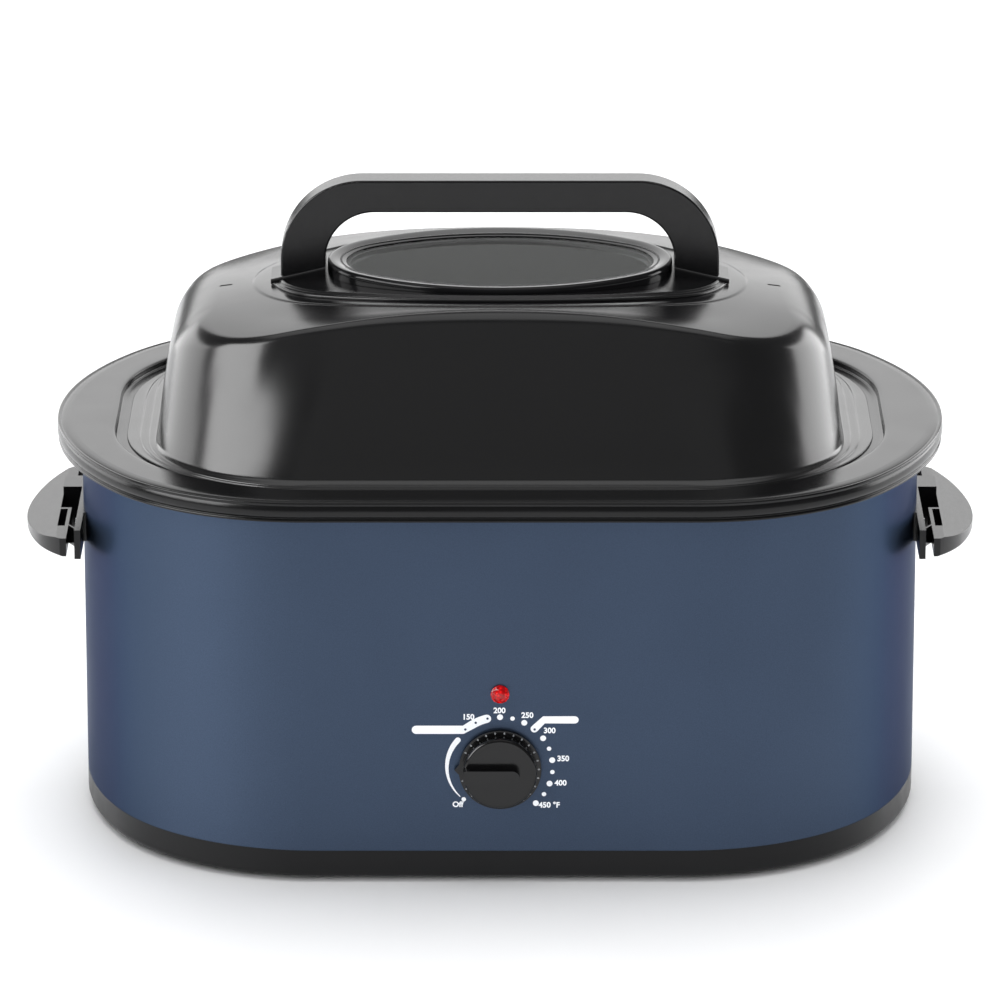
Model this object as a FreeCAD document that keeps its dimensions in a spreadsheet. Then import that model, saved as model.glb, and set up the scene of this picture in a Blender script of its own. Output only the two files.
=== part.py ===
import FreeCAD, Part
import Sketcher
import math
import os

# Electric roaster oven: a painted oval body on a black tray, a lift-out cooking pan with its rack,
# a lift-off lid with a window, a thermostat knob in front and a grip at each end.
# Millimetres. X runs along the oven, -Y is the front, Z is up and the feet stand on Z = 0.

os.makedirs("parts", exist_ok=True)
doc = FreeCAD.newDocument("roaster_oven")

SIZES = {
    # Feet, tray and bottom cover.
    "foot_height": 3.0,
    "foot_radius": 9.0,
    "foot_bore_radius": 4.2,
    "foot_web": 1.2,
    "foot_place_x": 170.0,
    "foot_place_y": 95.0,
    "tray_height": 17.3,
    "tray_wall": 2.0,
    "tray_floor": 2.0,
    "tray_edge_radius": 4.0,
    "tongue_height": 6.0,
    "tongue_wall": 1.6,
    "tongue_fit": 0.2,
    "cover_half_length": 90.0,
    "cover_half_depth": 65.0,
    "cover_corner_radius": 10.0,
    "cover_thickness": 1.2,
    "cover_lap": 12.0,
    "vent_length": 60.0,
    "vent_width": 4.4,
    "vent_pitch": 12.0,
    # Screws.
    "screw_radius": 1.9,
    "screw_head_radius": 3.6,
    "screw_head_height": 1.6,
    "screw_length": 6.0,
    "screw_hole_play": 0.2,
    # Outer body: a wrapped steel band.
    "body_half_length": 257.4,
    "body_half_depth": 173.6,
    "body_corner_radius": 139.9,
    "body_end_radius": 217.0,
    "body_wall": 0.8,
    "hem_width": 7.0,
    # Cooking pan.
    "rim_end_overhang": 15.2,
    "rim_front_overhang": 17.6,
    "rim_corner_radius": 140.0,
    "rim_end_radius": 230.0,
    "rim_height": 13.0,
    "rim_top": 246.0,
    "rim_edge_radius": 3.0,
    "pan_wall": 1.2,
    "opening_end_inset": 22.4,
    "opening_front_inset": 8.6,
    "opening_corner_radius": 130.0,
    "ledge_drop": 5.0,
    "tub_end_inset": 45.4,
    "tub_front_inset": 30.6,
    "tub_corner_radius": 95.0,
    "tub_depth": 166.0,
    "tub_floor_radius": 20.0,
    # Heating well, element and insulation.
    "well_gap": 3.0,
    "well_floor_gap": 6.0,
    "well_wall": 0.8,
    "heater_thickness": 2.0,
    "heater_bottom": 120.0,
    "heater_height": 75.0,
    "blanket_thickness": 7.0,
    "blanket_margin": 14.0,
    "hem_screw_inset": 3.2,
    "hem_screw_place": 80.0,
    # Rack.
    "rack_wire_radius": 2.0,
    "rack_post_radius": 1.7,
    "rack_bar_radius": 1.4,
    "rack_clearance": 9.0,
    "rack_corner_radius": 84.0,
    "rack_height": 14.0,
    "rack_bar_pitch": 30.0,
    "rack_grip_half_width": 38.0,
    "rack_grip_height": 62.0,
    "weld_gap": 0.1,
    "floor_gap": 0.3,
    # Lid.
    "flange_play": 7.0,
    "flange_corner_radius": 125.0,
    "lid_wall": 1.2,
    "skirt_play": 2.5,
    "skirt_height": 7.0,
    "dome_end_step": 19.0,
    "dome_front_step": 8.0,
    "dome_corner_radius": 90.0,
    "dome_loft_height": 104.0,
    "dome_end_lean": 23.5,
    "dome_front_lean": 54.5,
    "dome_top_corner_radius": 63.0,
    "roof_top": 338.0,
    "roof_radius": 1000.0,
    "crown_radius": 2300.0,
    "crown_swing": 20.0,
    "roof_edge_radius": 18.0,
    "steam_slit_inset": 41.0,
    "steam_slit_length": 8.2,
    "steam_slit_width": 2.4,
    "side_vent_height": 13.0,
    "side_vent_width": 2.4,
    "side_vent_place_z": 298.0,
    # Lid furniture: plate, window, handle.
    "plate_half_length": 140.0,
    "plate_half_depth": 82.0,
    "plate_end_radius": 60.0,
    "plate_thickness": 2.4,
    "glass_half_length": 94.0,
    "glass_half_depth": 56.5,
    "glass_end_radius": 40.0,
    "glass_lap": 2.6,
    "glass_thickness": 3.2,
    "glass_lift": 1.0,
    "gasket_wall": 2.4,
    "bezel_half_length": 105.6,
    "bezel_half_depth": 71.3,
    "bezel_end_radius": 53.0,
    "bezel_lip": 1.1,
    "lid_handle_top": 394.0,
    "lid_handle_thickness": 20.0,
    "lid_handle_depth": 20.0,
    "lid_handle_half_length": 134.0,
    "lid_handle_inner_half": 106.6,
    "lid_handle_corner_radius": 50.0,
    "lid_handle_inner_radius": 30.0,
    "lid_handle_edge_radius": 1.2,
    "lid_foot_half_length": 140.0,
    "lid_foot_depth": 30.0,
    "lid_foot_height": 3.0,
    "lid_foot_fall": 8.0,
    "lid_foot_edge_radius": 1.6,
    "lid_screw_length": 8.0,
    "lid_screw_place": 122.0,
    # Side handles.
    "grip_bottom": 174.5,
    "grip_top": 186.0,
    "grip_slope": 7.0,
    "grip_half_width": 74.0,
    "grip_end_reach": 10.9,
    "grip_corner_reach": 26.1,
    "grip_corner_place": 50.0,
    "grip_corner_radius": 69.0,
    "grip_front_radius": 143.4,
    "grip_far_reach": 37.6,
    "grip_edge_radius": 1.5,
    "mount_stand": 2.0,
    "mount_thickness": 3.8,
    "mount_bottom": 172.8,
    "mount_top": 191.2,
    "saddle_front": 38.0,
    "saddle_rear": 58.0,
    "saddle_reach": 12.0,
    "rest_gap": 5.0,
    "rib_wall": 2.2,
    "rib_slot_width": 4.5,
    "slot_near": 14.0,
    "slot_far": 48.0,
    "notch_front": 11.0,
    "bridge_near": 16.0,
    "bridge_far": 39.0,
    "bridge_rise": 5.0,
    "web_wall": 2.0,
    "web_place": 47.0,
    "web_run": 9.0,
    "grip_screw_front": 32.0,
    "grip_screw_rear": 52.0,
    "grip_screw_height": 182.0,
    "grip_screw_length": 22.0,
    "backing_wall": 2.0,
    "backing_half_width": 62.0,
    "backing_half_height": 8.0,
    # Knob, thermostat and lamp.
    "knob_height": 73.2,
    "knob_gap": 0.6,
    "skirt_radius": 24.8,
    "skirt_thickness": 3.0,
    "knob_radius": 22.1,
    "knob_depth": 11.0,
    "knob_edge_radius": 2.0,
    "bar_depth": 7.0,
    "bar_half_width": 4.4,
    "bar_right_reach": 11.8,
    "nib_reach": 27.4,
    "nib_half_width": 6.0,
    "shaft_radius": 3.0,
    "shaft_play": 0.05,
    "shaft_hole_play": 1.0,
    "shaft_in_knob": 12.0,
    "bracket_thickness": 1.2,
    "bracket_half_width": 30.0,
    "bracket_half_height": 19.0,
    "thermostat_half_width": 18.0,
    "thermostat_half_height": 14.0,
    "thermostat_depth": 12.0,
    "thermostat_back_wall": 1.5,
    "sensor_half_width": 6.0,
    "sensor_rise": 8.0,
    "sensor_thickness": 1.5,
    "lamp_height": 120.4,
    "lens_radius": 5.6,
    "lens_dome": 3.6,
    "lens_flange": 1.2,
    "lens_barrel_radius": 4.4,
    "lens_barrel_length": 5.0,
    "lamp_radius": 5.4,
    "lamp_length": 7.0,
    "clip_radius": 8.0,
    "clip_thickness": 0.6,
    # Mains entry and wiring.
    "gland_place_x": 90.0,
    "gland_height": 48.0,
    "gland_bore_radius": 3.6,
    "gland_throat_radius": 4.4,
    "gland_neck_radius": 6.4,
    "gland_flange_radius": 9.5,
    "gland_flange": 3.0,
    "gland_sleeve": 17.0,
    "gland_tip_radius": 5.4,
    "gland_inner": 7.0,
    "nut_thickness": 4.0,
    "sleeve_rib": 2.0,
    "block_half_length": 20.0,
    "block_half_depth": 9.0,
    "block_height": 16.0,
    "block_inset": 53.6,
    "lead_radius": 1.3,
    "lead_place_x": 10.0,
    "lead_drop": 4.0,
    "fuse_radius": 4.0,
    "fuse_length": 26.0,
    "fuse_rear": 46.0,
}


class Size:
    """A length that carries its spreadsheet expression along with its value."""

    def __init__(self, text, value):
        self.text = text
        self.value = value

    def __add__(self, other):
        return joined(self, "+", other)

    def __radd__(self, other):
        return joined(other, "+", self)

    def __sub__(self, other):
        return joined(self, "-", other)

    def __rsub__(self, other):
        return joined(other, "-", self)

    def __mul__(self, other):
        return joined(self, "*", other)

    def __rmul__(self, other):
        return joined(other, "*", self)

    def __truediv__(self, other):
        return joined(self, "/", other)

    def __neg__(self):
        return joined(0, "-", self)


RESULT = {
    "+": lambda a, b: a + b,
    "-": lambda a, b: a - b,
    "*": lambda a, b: a * b,
    "/": lambda a, b: a / b,
}


def as_size(value):
    if isinstance(value, Size):
        return value
    return Size(repr(float(value)), float(value))


def joined(left, sign, right):
    left = as_size(left)
    right = as_size(right)
    return Size(f"({left.text} {sign} {right.text})", RESULT[sign](left.value, right.value))


def root(size):
    return Size(f"sqrt({size.text})", math.sqrt(size.value))


class Sheet:
    """The spreadsheet of driving sizes: each one is read as an attribute of this object."""

    def __init__(self, sizes):
        self.cells = doc.addObject("Spreadsheet::Sheet", "Sizes")
        for row, (name, value) in enumerate(sizes.items(), start=1):
            self.cells.set(f"A{row}", name)
            self.cells.set(f"B{row}", str(value))
            self.cells.setAlias(f"B{row}", name)
            setattr(self, name, Size(f"Sizes.{name}", value))


dim = Sheet(SIZES)
doc.recompute()

# Heights that several pieces share.
tray_top = dim.foot_height + dim.tray_height
ledge_top = dim.rim_top - dim.ledge_drop
flange_seat = ledge_top - dim.pan_wall
tub_floor = ledge_top - dim.tub_depth
tub_underside = tub_floor - dim.pan_wall
well_floor = tub_underside - dim.well_floor_gap
body_top = flange_seat - dim.well_wall
front_face = dim.body_half_depth
wall_inside = front_face - dim.body_wall

# Half lengths and half depths of the outlines that nest inside the body.
tub_half_length = dim.body_half_length - dim.tub_end_inset
tub_half_depth = dim.body_half_depth - dim.tub_front_inset
opening_half_length = dim.body_half_length - dim.opening_end_inset
opening_half_depth = dim.body_half_depth - dim.opening_front_inset
flange_half_length = opening_half_length - dim.flange_play
flange_half_depth = opening_half_depth - dim.flange_play
dome_half_length = flange_half_length - dim.dome_end_step
dome_half_depth = flange_half_depth - dim.dome_front_step


# ---------------------------------------------------------------- outlines

def oval(half_length, half_depth, corner_radius, end_radius):
    """Oval with straight long sides, four corner arcs and a wide arc at each end."""
    end_centre = half_length - end_radius
    reach = end_radius - corner_radius
    rise = half_depth - corner_radius
    straight = end_centre + root(reach * reach - rise * rise)
    join_x = end_centre + end_radius * (straight - end_centre) / reach
    join_y = end_radius * rise / reach
    return [
        (straight, -half_depth, corner_radius),
        (join_x, -join_y, end_radius),
        (join_x, join_y, corner_radius),
        (straight, half_depth),
        (-straight, half_depth, corner_radius),
        (-join_x, join_y, end_radius),
        (-join_x, -join_y, corner_radius),
        (-straight, -half_depth),
    ]


def rounded(half_length, half_depth, radius, x=0, y=0):
    """Rectangle with round corners about the point x, y."""
    near_x = half_length - radius
    near_y = half_depth - radius
    return [
        (x + near_x, y - half_depth, radius),
        (x + half_length, y - near_y),
        (x + half_length, y + near_y, radius),
        (x + near_x, y + half_depth),
        (x - near_x, y + half_depth, radius),
        (x - half_length, y + near_y),
        (x - half_length, y - near_y, radius),
        (x - near_x, y - half_depth),
    ]


def egg(half_length, half_depth, end_radius):
    """Four-arc oval: a small arc at each end and a wide one along each side."""
    end_centre = half_length - end_radius
    side_radius = (end_centre * end_centre + half_depth * half_depth - end_radius * end_radius) / (
        2 * (half_depth - end_radius)
    )
    reach = side_radius - end_radius
    join_x = end_centre + end_radius * end_centre / reach
    join_y = end_radius * (side_radius - half_depth) / reach
    return [
        (join_x, -join_y, end_radius),
        (join_x, join_y, side_radius),
        (-join_x, join_y, end_radius),
        (-join_x, -join_y, side_radius),
    ]


def box(x0, y0, x1, y1):
    return [(x0, y0), (x1, y0), (x1, y1), (x0, y1)]


def body_outline(inset=0):
    return oval(
        dim.body_half_length - inset,
        dim.body_half_depth - inset,
        dim.body_corner_radius - inset,
        dim.body_end_radius - inset,
    )


def tub_outline(grow=0):
    return rounded(tub_half_length + grow, tub_half_depth + grow, dim.tub_corner_radius + grow)


def opening_outline(grow=0):
    return rounded(
        opening_half_length + grow,
        opening_half_depth + grow,
        dim.opening_corner_radius + grow,
    )


def glass_outline(grow=0):
    return egg(dim.glass_half_length + grow, dim.glass_half_depth + grow, dim.glass_end_radius + grow)


# ---------------------------------------------------------------- document helpers

def new_body(label):
    body = doc.addObject("PartDesign::Body", label)
    body.Label = label
    body.AllowCompound = True
    return body


def sketch_on(body, plane, offset=0):
    """Sketch on one of the body's own origin planes, moved along the plane's normal."""
    sketch = body.newObject("Sketcher::SketchObject", f"{body.Name}_sketch")
    support = next(f for f in body.Origin.OriginFeatures if f.Role == plane)
    sketch.AttachmentSupport = (support, [""])
    sketch.MapMode = "FlatFace"
    sketch.setExpression("AttachmentOffset.Base.z", as_size(offset).text)
    return sketch


def bind(sketch, kind, ends, size):
    size = as_size(size)
    index = sketch.addConstraint(Sketcher.Constraint(kind, *ends, size.value))
    sketch.setExpression(f"Constraints[{index}]", size.text)


def arc_between(start, end, radius):
    """Arc that leaves start and reaches end; a positive radius turns counter-clockwise."""
    chord = end.sub(start)
    side = FreeCAD.Vector(-chord.y, chord.x, 0).normalize()
    sagitta_side = math.copysign(1, radius)
    distance = math.sqrt(max(radius * radius - chord.Length ** 2 / 4, 0))
    centre = start.add(chord.multiply(0.5)).add(side.multiply(sagitta_side * distance))
    first = math.atan2(start.y - centre.y, start.x - centre.x)
    last = math.atan2(end.y - centre.y, end.x - centre.x)
    circle = Part.Circle(centre, FreeCAD.Vector(0, 0, 1), abs(radius))
    if radius > 0:
        return Part.ArcOfCircle(circle, first, last)
    return Part.ArcOfCircle(circle, last, first)


def loop(sketch, corners):
    """Closed outline through (x, y) corners; a third value is the radius of the arc that leaves one."""
    first = sketch.GeometryCount
    count = len(corners)
    points = [FreeCAD.Vector(as_size(c[0]).value, as_size(c[1]).value, 0) for c in corners]
    ends = []
    for i, corner in enumerate(corners):
        start, end = points[i], points[(i + 1) % count]
        if len(corner) == 2:
            sketch.addGeometry(Part.LineSegment(start, end))
            ends.append((1, 2))
        else:
            radius = as_size(corner[2]).value
            sketch.addGeometry(arc_between(start, end, radius))
            ends.append((1, 2) if radius > 0 else (2, 1))
    for i, corner in enumerate(corners):
        after = (i + 1) % count
        sketch.addConstraint(
            Sketcher.Constraint("Coincident", first + i, ends[i][1], first + after, ends[after][0])
        )
        bind(sketch, "DistanceX", (-1, 1, first + i, ends[i][0]), corner[0])
        bind(sketch, "DistanceY", (-1, 1, first + i, ends[i][0]), corner[1])
        if len(corner) == 3:
            radius = as_size(corner[2])
            bind(sketch, "Radius", (first + i,), radius if radius.value > 0 else -radius)
    return sketch


def disc(sketch, x, y, radius):
    centre = FreeCAD.Vector(as_size(x).value, as_size(y).value, 0)
    index = sketch.addGeometry(Part.Circle(centre, FreeCAD.Vector(0, 0, 1), as_size(radius).value))
    bind(sketch, "DistanceX", (-1, 1, index, 3), x)
    bind(sketch, "DistanceY", (-1, 1, index, 3), y)
    bind(sketch, "Radius", (index,), radius)
    return sketch


def extrude(kind, sketch, length, reverse=False, both=False):
    body = sketch.getParentGeoFeatureGroup()
    feature = body.newObject(f"PartDesign::{kind}", f"{body.Name}_{kind.lower()}")
    feature.Profile = sketch
    feature.setExpression("Length", as_size(length).text)
    feature.Reversed = reverse
    feature.SideType = "Symmetric" if both else "One side"
    sketch.Visibility = False
    doc.recompute()
    return feature


def pad(sketch, length, reverse=False, both=False):
    return extrude("Pad", sketch, length, reverse, both)


def pocket(sketch, length, reverse=False, both=False):
    return extrude("Pocket", sketch, length, reverse, both)


def dress(kind, body, edges, size):
    """Fillet or chamfer on the edges that the test picks."""
    base = body.Tip
    names = [f"Edge{i}" for i, edge in enumerate(base.Shape.Edges, start=1) if edges(edge)]
    if not names:
        raise ValueError(f"no edge to {kind.lower()} on {body.Label}")
    feature = body.newObject(f"PartDesign::{kind}", f"{body.Name}_{kind.lower()}")
    feature.Base = (base, names)
    feature.setExpression("Radius" if kind == "Fillet" else "Size", as_size(size).text)
    doc.recompute()
    return feature


def fillet(body, edges, radius):
    return dress("Fillet", body, edges, radius)


def level(height, low=0, high=1e9):
    """Test for edges that lie at one height and whose middle is low to high from the Z axis."""
    height = as_size(height).value
    low = as_size(low).value
    high = as_size(high).value

    def test(edge):
        bounds = edge.BoundBox
        middle = edge.valueAt((edge.FirstParameter + edge.LastParameter) / 2)
        radial = math.hypot(middle.x, middle.y)
        return abs(bounds.ZMin - height) < 1e-3 and bounds.ZLength < 1e-3 and low <= radial <= high

    return test


def ring(label, outer, inner, bottom, height):
    body = new_body(label)
    sketch = sketch_on(body, "XY_Plane", bottom)
    loop(sketch, outer)
    loop(sketch, inner)
    pad(sketch, height)
    return body


def discs(body, plane, offset, places, radius):
    sketch = sketch_on(body, plane, offset)
    for x, y in places:
        disc(sketch, x, y, radius)
    return sketch


def drill(body, plane, offset, places, radius, depth, reverse=False):
    return pocket(discs(body, plane, offset, places, radius), depth, reverse=reverse)


def screw_group(label, plane, seat, places, length, head_side=1):
    """Pan-head screws whose heads sit on the seat plane, on its outer side if head_side is 1."""
    body = new_body(label)
    inward = head_side < 0
    pad(discs(body, plane, seat, places, dim.screw_head_radius), dim.screw_head_height, reverse=inward)
    pad(discs(body, plane, seat, places, dim.screw_radius), length, reverse=not inward)
    return body


def four_places(x, y):
    return [(-x, -y), (-x, y), (x, -y), (x, y)]


def mirrored(label, source):
    """The same piece on the other side of the oven's middle plane."""
    copy = doc.addObject("Part::Mirroring", label)
    copy.Label = label
    copy.Source = source
    copy.Normal = FreeCAD.Vector(1, 0, 0)
    copy.Base = FreeCAD.Vector(0, 0, 0)
    return copy


# ---------------------------------------------------------------- tray, cover and feet

foot_places = four_places(dim.foot_place_x, dim.foot_place_y)
cover_places = four_places(
    dim.cover_half_length - dim.cover_lap / 2, dim.cover_half_depth - dim.cover_lap / 2
)
screw_hole_radius = dim.screw_radius + dim.screw_hole_play
cover_underside = dim.foot_height - dim.cover_thickness


def make_tray():
    body = new_body("base_tray")
    pad(loop(sketch_on(body, "XY_Plane", dim.foot_height), body_outline()), dim.tray_height)
    fillet(body, level(dim.foot_height), dim.tray_edge_radius)
    pocket(
        loop(sketch_on(body, "XY_Plane", tray_top), body_outline(dim.tray_wall)),
        dim.tray_height - dim.tray_floor,
    )
    tongue_inset = dim.body_wall + dim.tongue_fit
    tongue = sketch_on(body, "XY_Plane", dim.foot_height + dim.tray_floor)
    loop(tongue, body_outline(tongue_inset))
    loop(tongue, body_outline(tongue_inset + dim.tongue_wall))
    pad(tongue, dim.tray_height - dim.tray_floor + dim.tongue_height)
    hatch = rounded(
        dim.cover_half_length - dim.cover_lap,
        dim.cover_half_depth - dim.cover_lap,
        dim.cover_corner_radius,
    )
    floor_cut = dim.tray_floor + 1
    pocket(
        loop(sketch_on(body, "XY_Plane", dim.foot_height), hatch), floor_cut, reverse=True
    )
    drill(
        body, "XY_Plane", dim.foot_height, foot_places + cover_places,
        screw_hole_radius, floor_cut, reverse=True,
    )
    return body


def make_cover():
    body = new_body("bottom_cover")
    outline = rounded(dim.cover_half_length, dim.cover_half_depth, dim.cover_corner_radius)
    pad(loop(sketch_on(body, "XY_Plane", cover_underside), outline), dim.cover_thickness)
    drill(
        body, "XY_Plane", cover_underside, cover_places, screw_hole_radius,
        dim.cover_thickness, reverse=True,
    )
    slots = sketch_on(body, "XY_Plane", cover_underside)
    for row in (-2, -1, 0, 1, 2):
        slot = rounded(dim.vent_length, dim.vent_width / 2, dim.vent_width / 4, y=row * dim.vent_pitch)
        loop(slots, slot)
    pocket(slots, dim.cover_thickness, reverse=True)
    return body


def make_feet():
    body = new_body("feet")
    pad(discs(body, "XY_Plane", 0, foot_places, dim.foot_radius), dim.foot_height)
    drill(
        body, "XY_Plane", 0, foot_places, dim.foot_bore_radius,
        dim.foot_height - dim.foot_web, reverse=True,
    )
    drill(body, "XY_Plane", 0, foot_places, screw_hole_radius, dim.foot_height, reverse=True)
    return body


make_tray()
make_cover()
make_feet()
screw_group("foot_screws", "XY_Plane", dim.foot_height - dim.foot_web, foot_places, dim.screw_length, -1)
screw_group("cover_screws", "XY_Plane", cover_underside, cover_places, dim.screw_length, -1)


# ---------------------------------------------------------------- outer body, well, insulation

shaft_hole_radius = dim.shaft_radius + dim.shaft_hole_play
grip_screw_places = [
    (-dim.grip_screw_front, dim.grip_screw_height),
    (dim.grip_screw_rear, dim.grip_screw_height),
]
wall_clear = 1.0
end_cut = dim.saddle_reach + 2 * wall_clear
hem_screw_y = dim.body_half_depth - dim.hem_screw_inset
hem_screw_x = dim.body_half_length - dim.hem_screw_inset
hem_screw_places = four_places(dim.hem_screw_place, hem_screw_y) + [(-hem_screw_x, 0), (hem_screw_x, 0)]


def make_outer_body():
    body = ring("outer_body", body_outline(), body_outline(dim.body_wall), tray_top, body_top - tray_top)
    hem = sketch_on(body, "XY_Plane", body_top - dim.body_wall)
    loop(hem, body_outline())
    loop(hem, body_outline(dim.hem_width))
    pad(hem, dim.body_wall)
    drill(body, "XY_Plane", body_top, hem_screw_places, dim.screw_radius, dim.body_wall)
    wall_cut = dim.body_wall + 2 * wall_clear
    front_plane = front_face + wall_clear
    drill(body, "XZ_Plane", front_plane, [(0, dim.knob_height)], shaft_hole_radius, wall_cut)
    drill(body, "XZ_Plane", front_plane, [(0, dim.lamp_height)], dim.lens_barrel_radius, wall_cut)
    drill(
        body, "XZ_Plane", -front_plane, [(dim.gland_place_x, dim.gland_height)],
        dim.gland_neck_radius, wall_cut, reverse=True,
    )
    end_plane = dim.body_half_length + wall_clear
    drill(body, "YZ_Plane", end_plane, grip_screw_places, screw_hole_radius, end_cut)
    drill(body, "YZ_Plane", -end_plane, grip_screw_places, screw_hole_radius, end_cut, reverse=True)
    return body


def make_well():
    body = new_body("heating_well")
    inside = dim.pan_wall + dim.well_gap
    outside = inside + dim.well_wall
    floor_under = well_floor - dim.well_wall
    pad(loop(sketch_on(body, "XY_Plane", floor_under), tub_outline(outside)), flange_seat - floor_under)
    pad(loop(sketch_on(body, "XY_Plane", body_top), body_outline()), dim.well_wall)
    pocket(
        loop(sketch_on(body, "XY_Plane", flange_seat), tub_outline(inside)), flange_seat - well_floor
    )
    fillet(body, level(well_floor), dim.tub_floor_radius + inside)
    fillet(body, level(floor_under), dim.tub_floor_radius + outside)
    drill(body, "XY_Plane", flange_seat, hem_screw_places, screw_hole_radius, dim.well_wall)
    return body


well_outside = dim.pan_wall + dim.well_gap + dim.well_wall
blanket_bottom = dim.heater_bottom - dim.blanket_margin
blanket_inset = well_outside + dim.heater_thickness


def make_heater():
    return ring(
        "heater_band", tub_outline(blanket_inset), tub_outline(well_outside),
        dim.heater_bottom, dim.heater_height,
    )


def make_blanket():
    return ring(
        "insulation_blanket", tub_outline(blanket_inset + dim.blanket_thickness),
        tub_outline(blanket_inset), blanket_bottom, dim.heater_height + 2 * dim.blanket_margin,
    )


make_outer_body()
make_well()
make_heater()
make_blanket()
screw_group("well_screws", "XY_Plane", flange_seat, hem_screw_places, dim.screw_length)


# ---------------------------------------------------------------- cooking pan and rack

def rim_outline(inset=0):
    return oval(
        dim.body_half_length + dim.rim_end_overhang - inset,
        dim.body_half_depth + dim.rim_front_overhang - inset,
        dim.rim_corner_radius - inset,
        dim.rim_end_radius - inset,
    )


def make_pan():
    body = new_body("cooking_pan")
    rim_bottom = dim.rim_top - dim.rim_height
    pad(loop(sketch_on(body, "XY_Plane", rim_bottom), rim_outline()), dim.rim_height)
    fillet(body, level(dim.rim_top), dim.rim_edge_radius)
    pocket(
        loop(sketch_on(body, "XY_Plane", rim_bottom), rim_outline(dim.pan_wall)),
        dim.rim_height - dim.pan_wall, reverse=True,
    )
    step = sketch_on(body, "XY_Plane", flange_seat)
    loop(step, opening_outline(dim.pan_wall))
    pad(step, dim.rim_top - dim.pan_wall - flange_seat)
    tub = sketch_on(body, "XY_Plane", tub_underside)
    loop(tub, tub_outline(dim.pan_wall))
    pad(tub, flange_seat - tub_underside)
    pocket(loop(sketch_on(body, "XY_Plane", dim.rim_top), opening_outline()), dim.ledge_drop)
    pocket(loop(sketch_on(body, "XY_Plane", ledge_top), tub_outline()), dim.tub_depth)
    fillet(body, level(tub_floor), dim.tub_floor_radius)
    fillet(body, level(tub_underside), dim.tub_floor_radius + dim.pan_wall)
    return body


rack_inset = dim.rack_clearance + dim.rack_wire_radius
rack_half_length = tub_half_length - rack_inset
rack_half_depth = tub_half_depth - rack_inset
rack_level = tub_floor + dim.rack_height


def swept(body, path, plane, offset, x, y, radius):
    """Round wire along a path sketch that starts at x, y on the given plane."""
    profile = disc(sketch_on(body, plane, offset), x, y, radius)
    pipe = body.newObject("PartDesign::AdditivePipe", f"{body.Name}_pipe")
    pipe.Profile = profile
    pipe.Spine = (path, [])
    pipe.Transition = "Transformed"
    path.Visibility = False
    doc.recompute()
    return pipe


def make_rack():
    body = new_body("roasting_rack")
    frame = loop(
        sketch_on(body, "XY_Plane", rack_level),
        rounded(rack_half_length, rack_half_depth, dim.rack_corner_radius),
    )
    swept(body, frame, "YZ_Plane", 0, -rack_half_depth, rack_level, dim.rack_wire_radius)
    bars = sketch_on(body, "XZ_Plane")
    for step in (-4, -3, -2, -1, 0, 1, 2, 3, 4):
        disc(bars, step * dim.rack_bar_pitch, rack_level, dim.rack_bar_radius)
    pad(bars, 2 * rack_half_depth, both=True)
    spine = discs(body, "YZ_Plane", 0, [(0, rack_level)], dim.rack_post_radius)
    pad(spine, 2 * rack_half_length, both=True)
    leg_y = tub_half_depth - dim.tub_floor_radius - 2 * dim.rack_wire_radius
    leg_places = four_places(4 * dim.rack_bar_pitch, leg_y)
    legs = discs(body, "XY_Plane", tub_floor + dim.floor_gap, leg_places, dim.rack_post_radius)
    pad(legs, dim.rack_height)
    return body


def make_rack_grips():
    """Two bent wire grips, each welded to the inner side of the rack's frame by its two posts."""
    body = new_body("rack_grips")
    weld_offset = dim.rack_wire_radius + dim.rack_post_radius + dim.weld_gap
    post_bottom = rack_level - dim.rack_wire_radius
    for side in (-1, 1):
        grip_x = side * (rack_half_length - weld_offset)
        posts = discs(
            body, "XY_Plane", post_bottom,
            [(grip_x, -dim.rack_grip_half_width), (grip_x, dim.rack_grip_half_width)], dim.rack_post_radius,
        )
        pad(posts, dim.rack_grip_height + dim.rack_wire_radius)
        bar = discs(
            body, "XZ_Plane", 0, [(grip_x, rack_level + dim.rack_grip_height)], dim.rack_wire_radius
        )
        pad(bar, 2 * (dim.rack_grip_half_width + dim.rack_wire_radius), both=True)
    return body


make_pan()
make_rack()
make_rack_grips()


# ---------------------------------------------------------------- lid

lid_seat = ledge_top


def roof_height(x, y=0, lift=0):
    """Height at x, y of the crowned roof, or of a surface that lies lift over it."""
    along = dim.roof_radius + lift
    across = dim.crown_radius + lift
    reach = across - along + root(along * along - x * x)
    return dim.roof_top + lift - across + root(reach * reach - y * y)


def cut_crown(body, lift, above):
    """Cuts away what lies above, or under, the crowned surface that is lift over the roof."""
    half_length = dome_half_length
    top = dim.roof_top + lift
    along = dim.roof_radius + lift
    edge = roof_height(half_length, 0, lift)
    if above:
        far = top + dim.dome_loft_height
        corners = [(-half_length, edge, -along), (half_length, edge), (half_length, far), (-half_length, far)]
    else:
        far = top - dim.dome_loft_height
        corners = [(-half_length, far), (half_length, far), (half_length, edge, along), (-half_length, edge)]
    sketch = loop(sketch_on(body, "XZ_Plane"), corners)
    axis_height = top - dim.crown_radius - lift
    left = FreeCAD.Vector(-half_length.value, axis_height.value, 0)
    right = FreeCAD.Vector(half_length.value, axis_height.value, 0)
    axis = sketch.addGeometry(Part.LineSegment(left, right), True)
    for end, x in ((1, -half_length), (2, half_length)):
        bind(sketch, "DistanceX", (-1, 1, axis, end), x)
        bind(sketch, "DistanceY", (-1, 1, axis, end), axis_height)
    groove = body.newObject("PartDesign::Groove", f"{body.Name}_groove")
    groove.Profile = sketch
    groove.ReferenceAxis = (sketch, ["Axis0"])
    groove.Midplane = True
    groove.setExpression("Angle", dim.crown_swing.text)
    sketch.Visibility = False
    doc.recompute()


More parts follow.
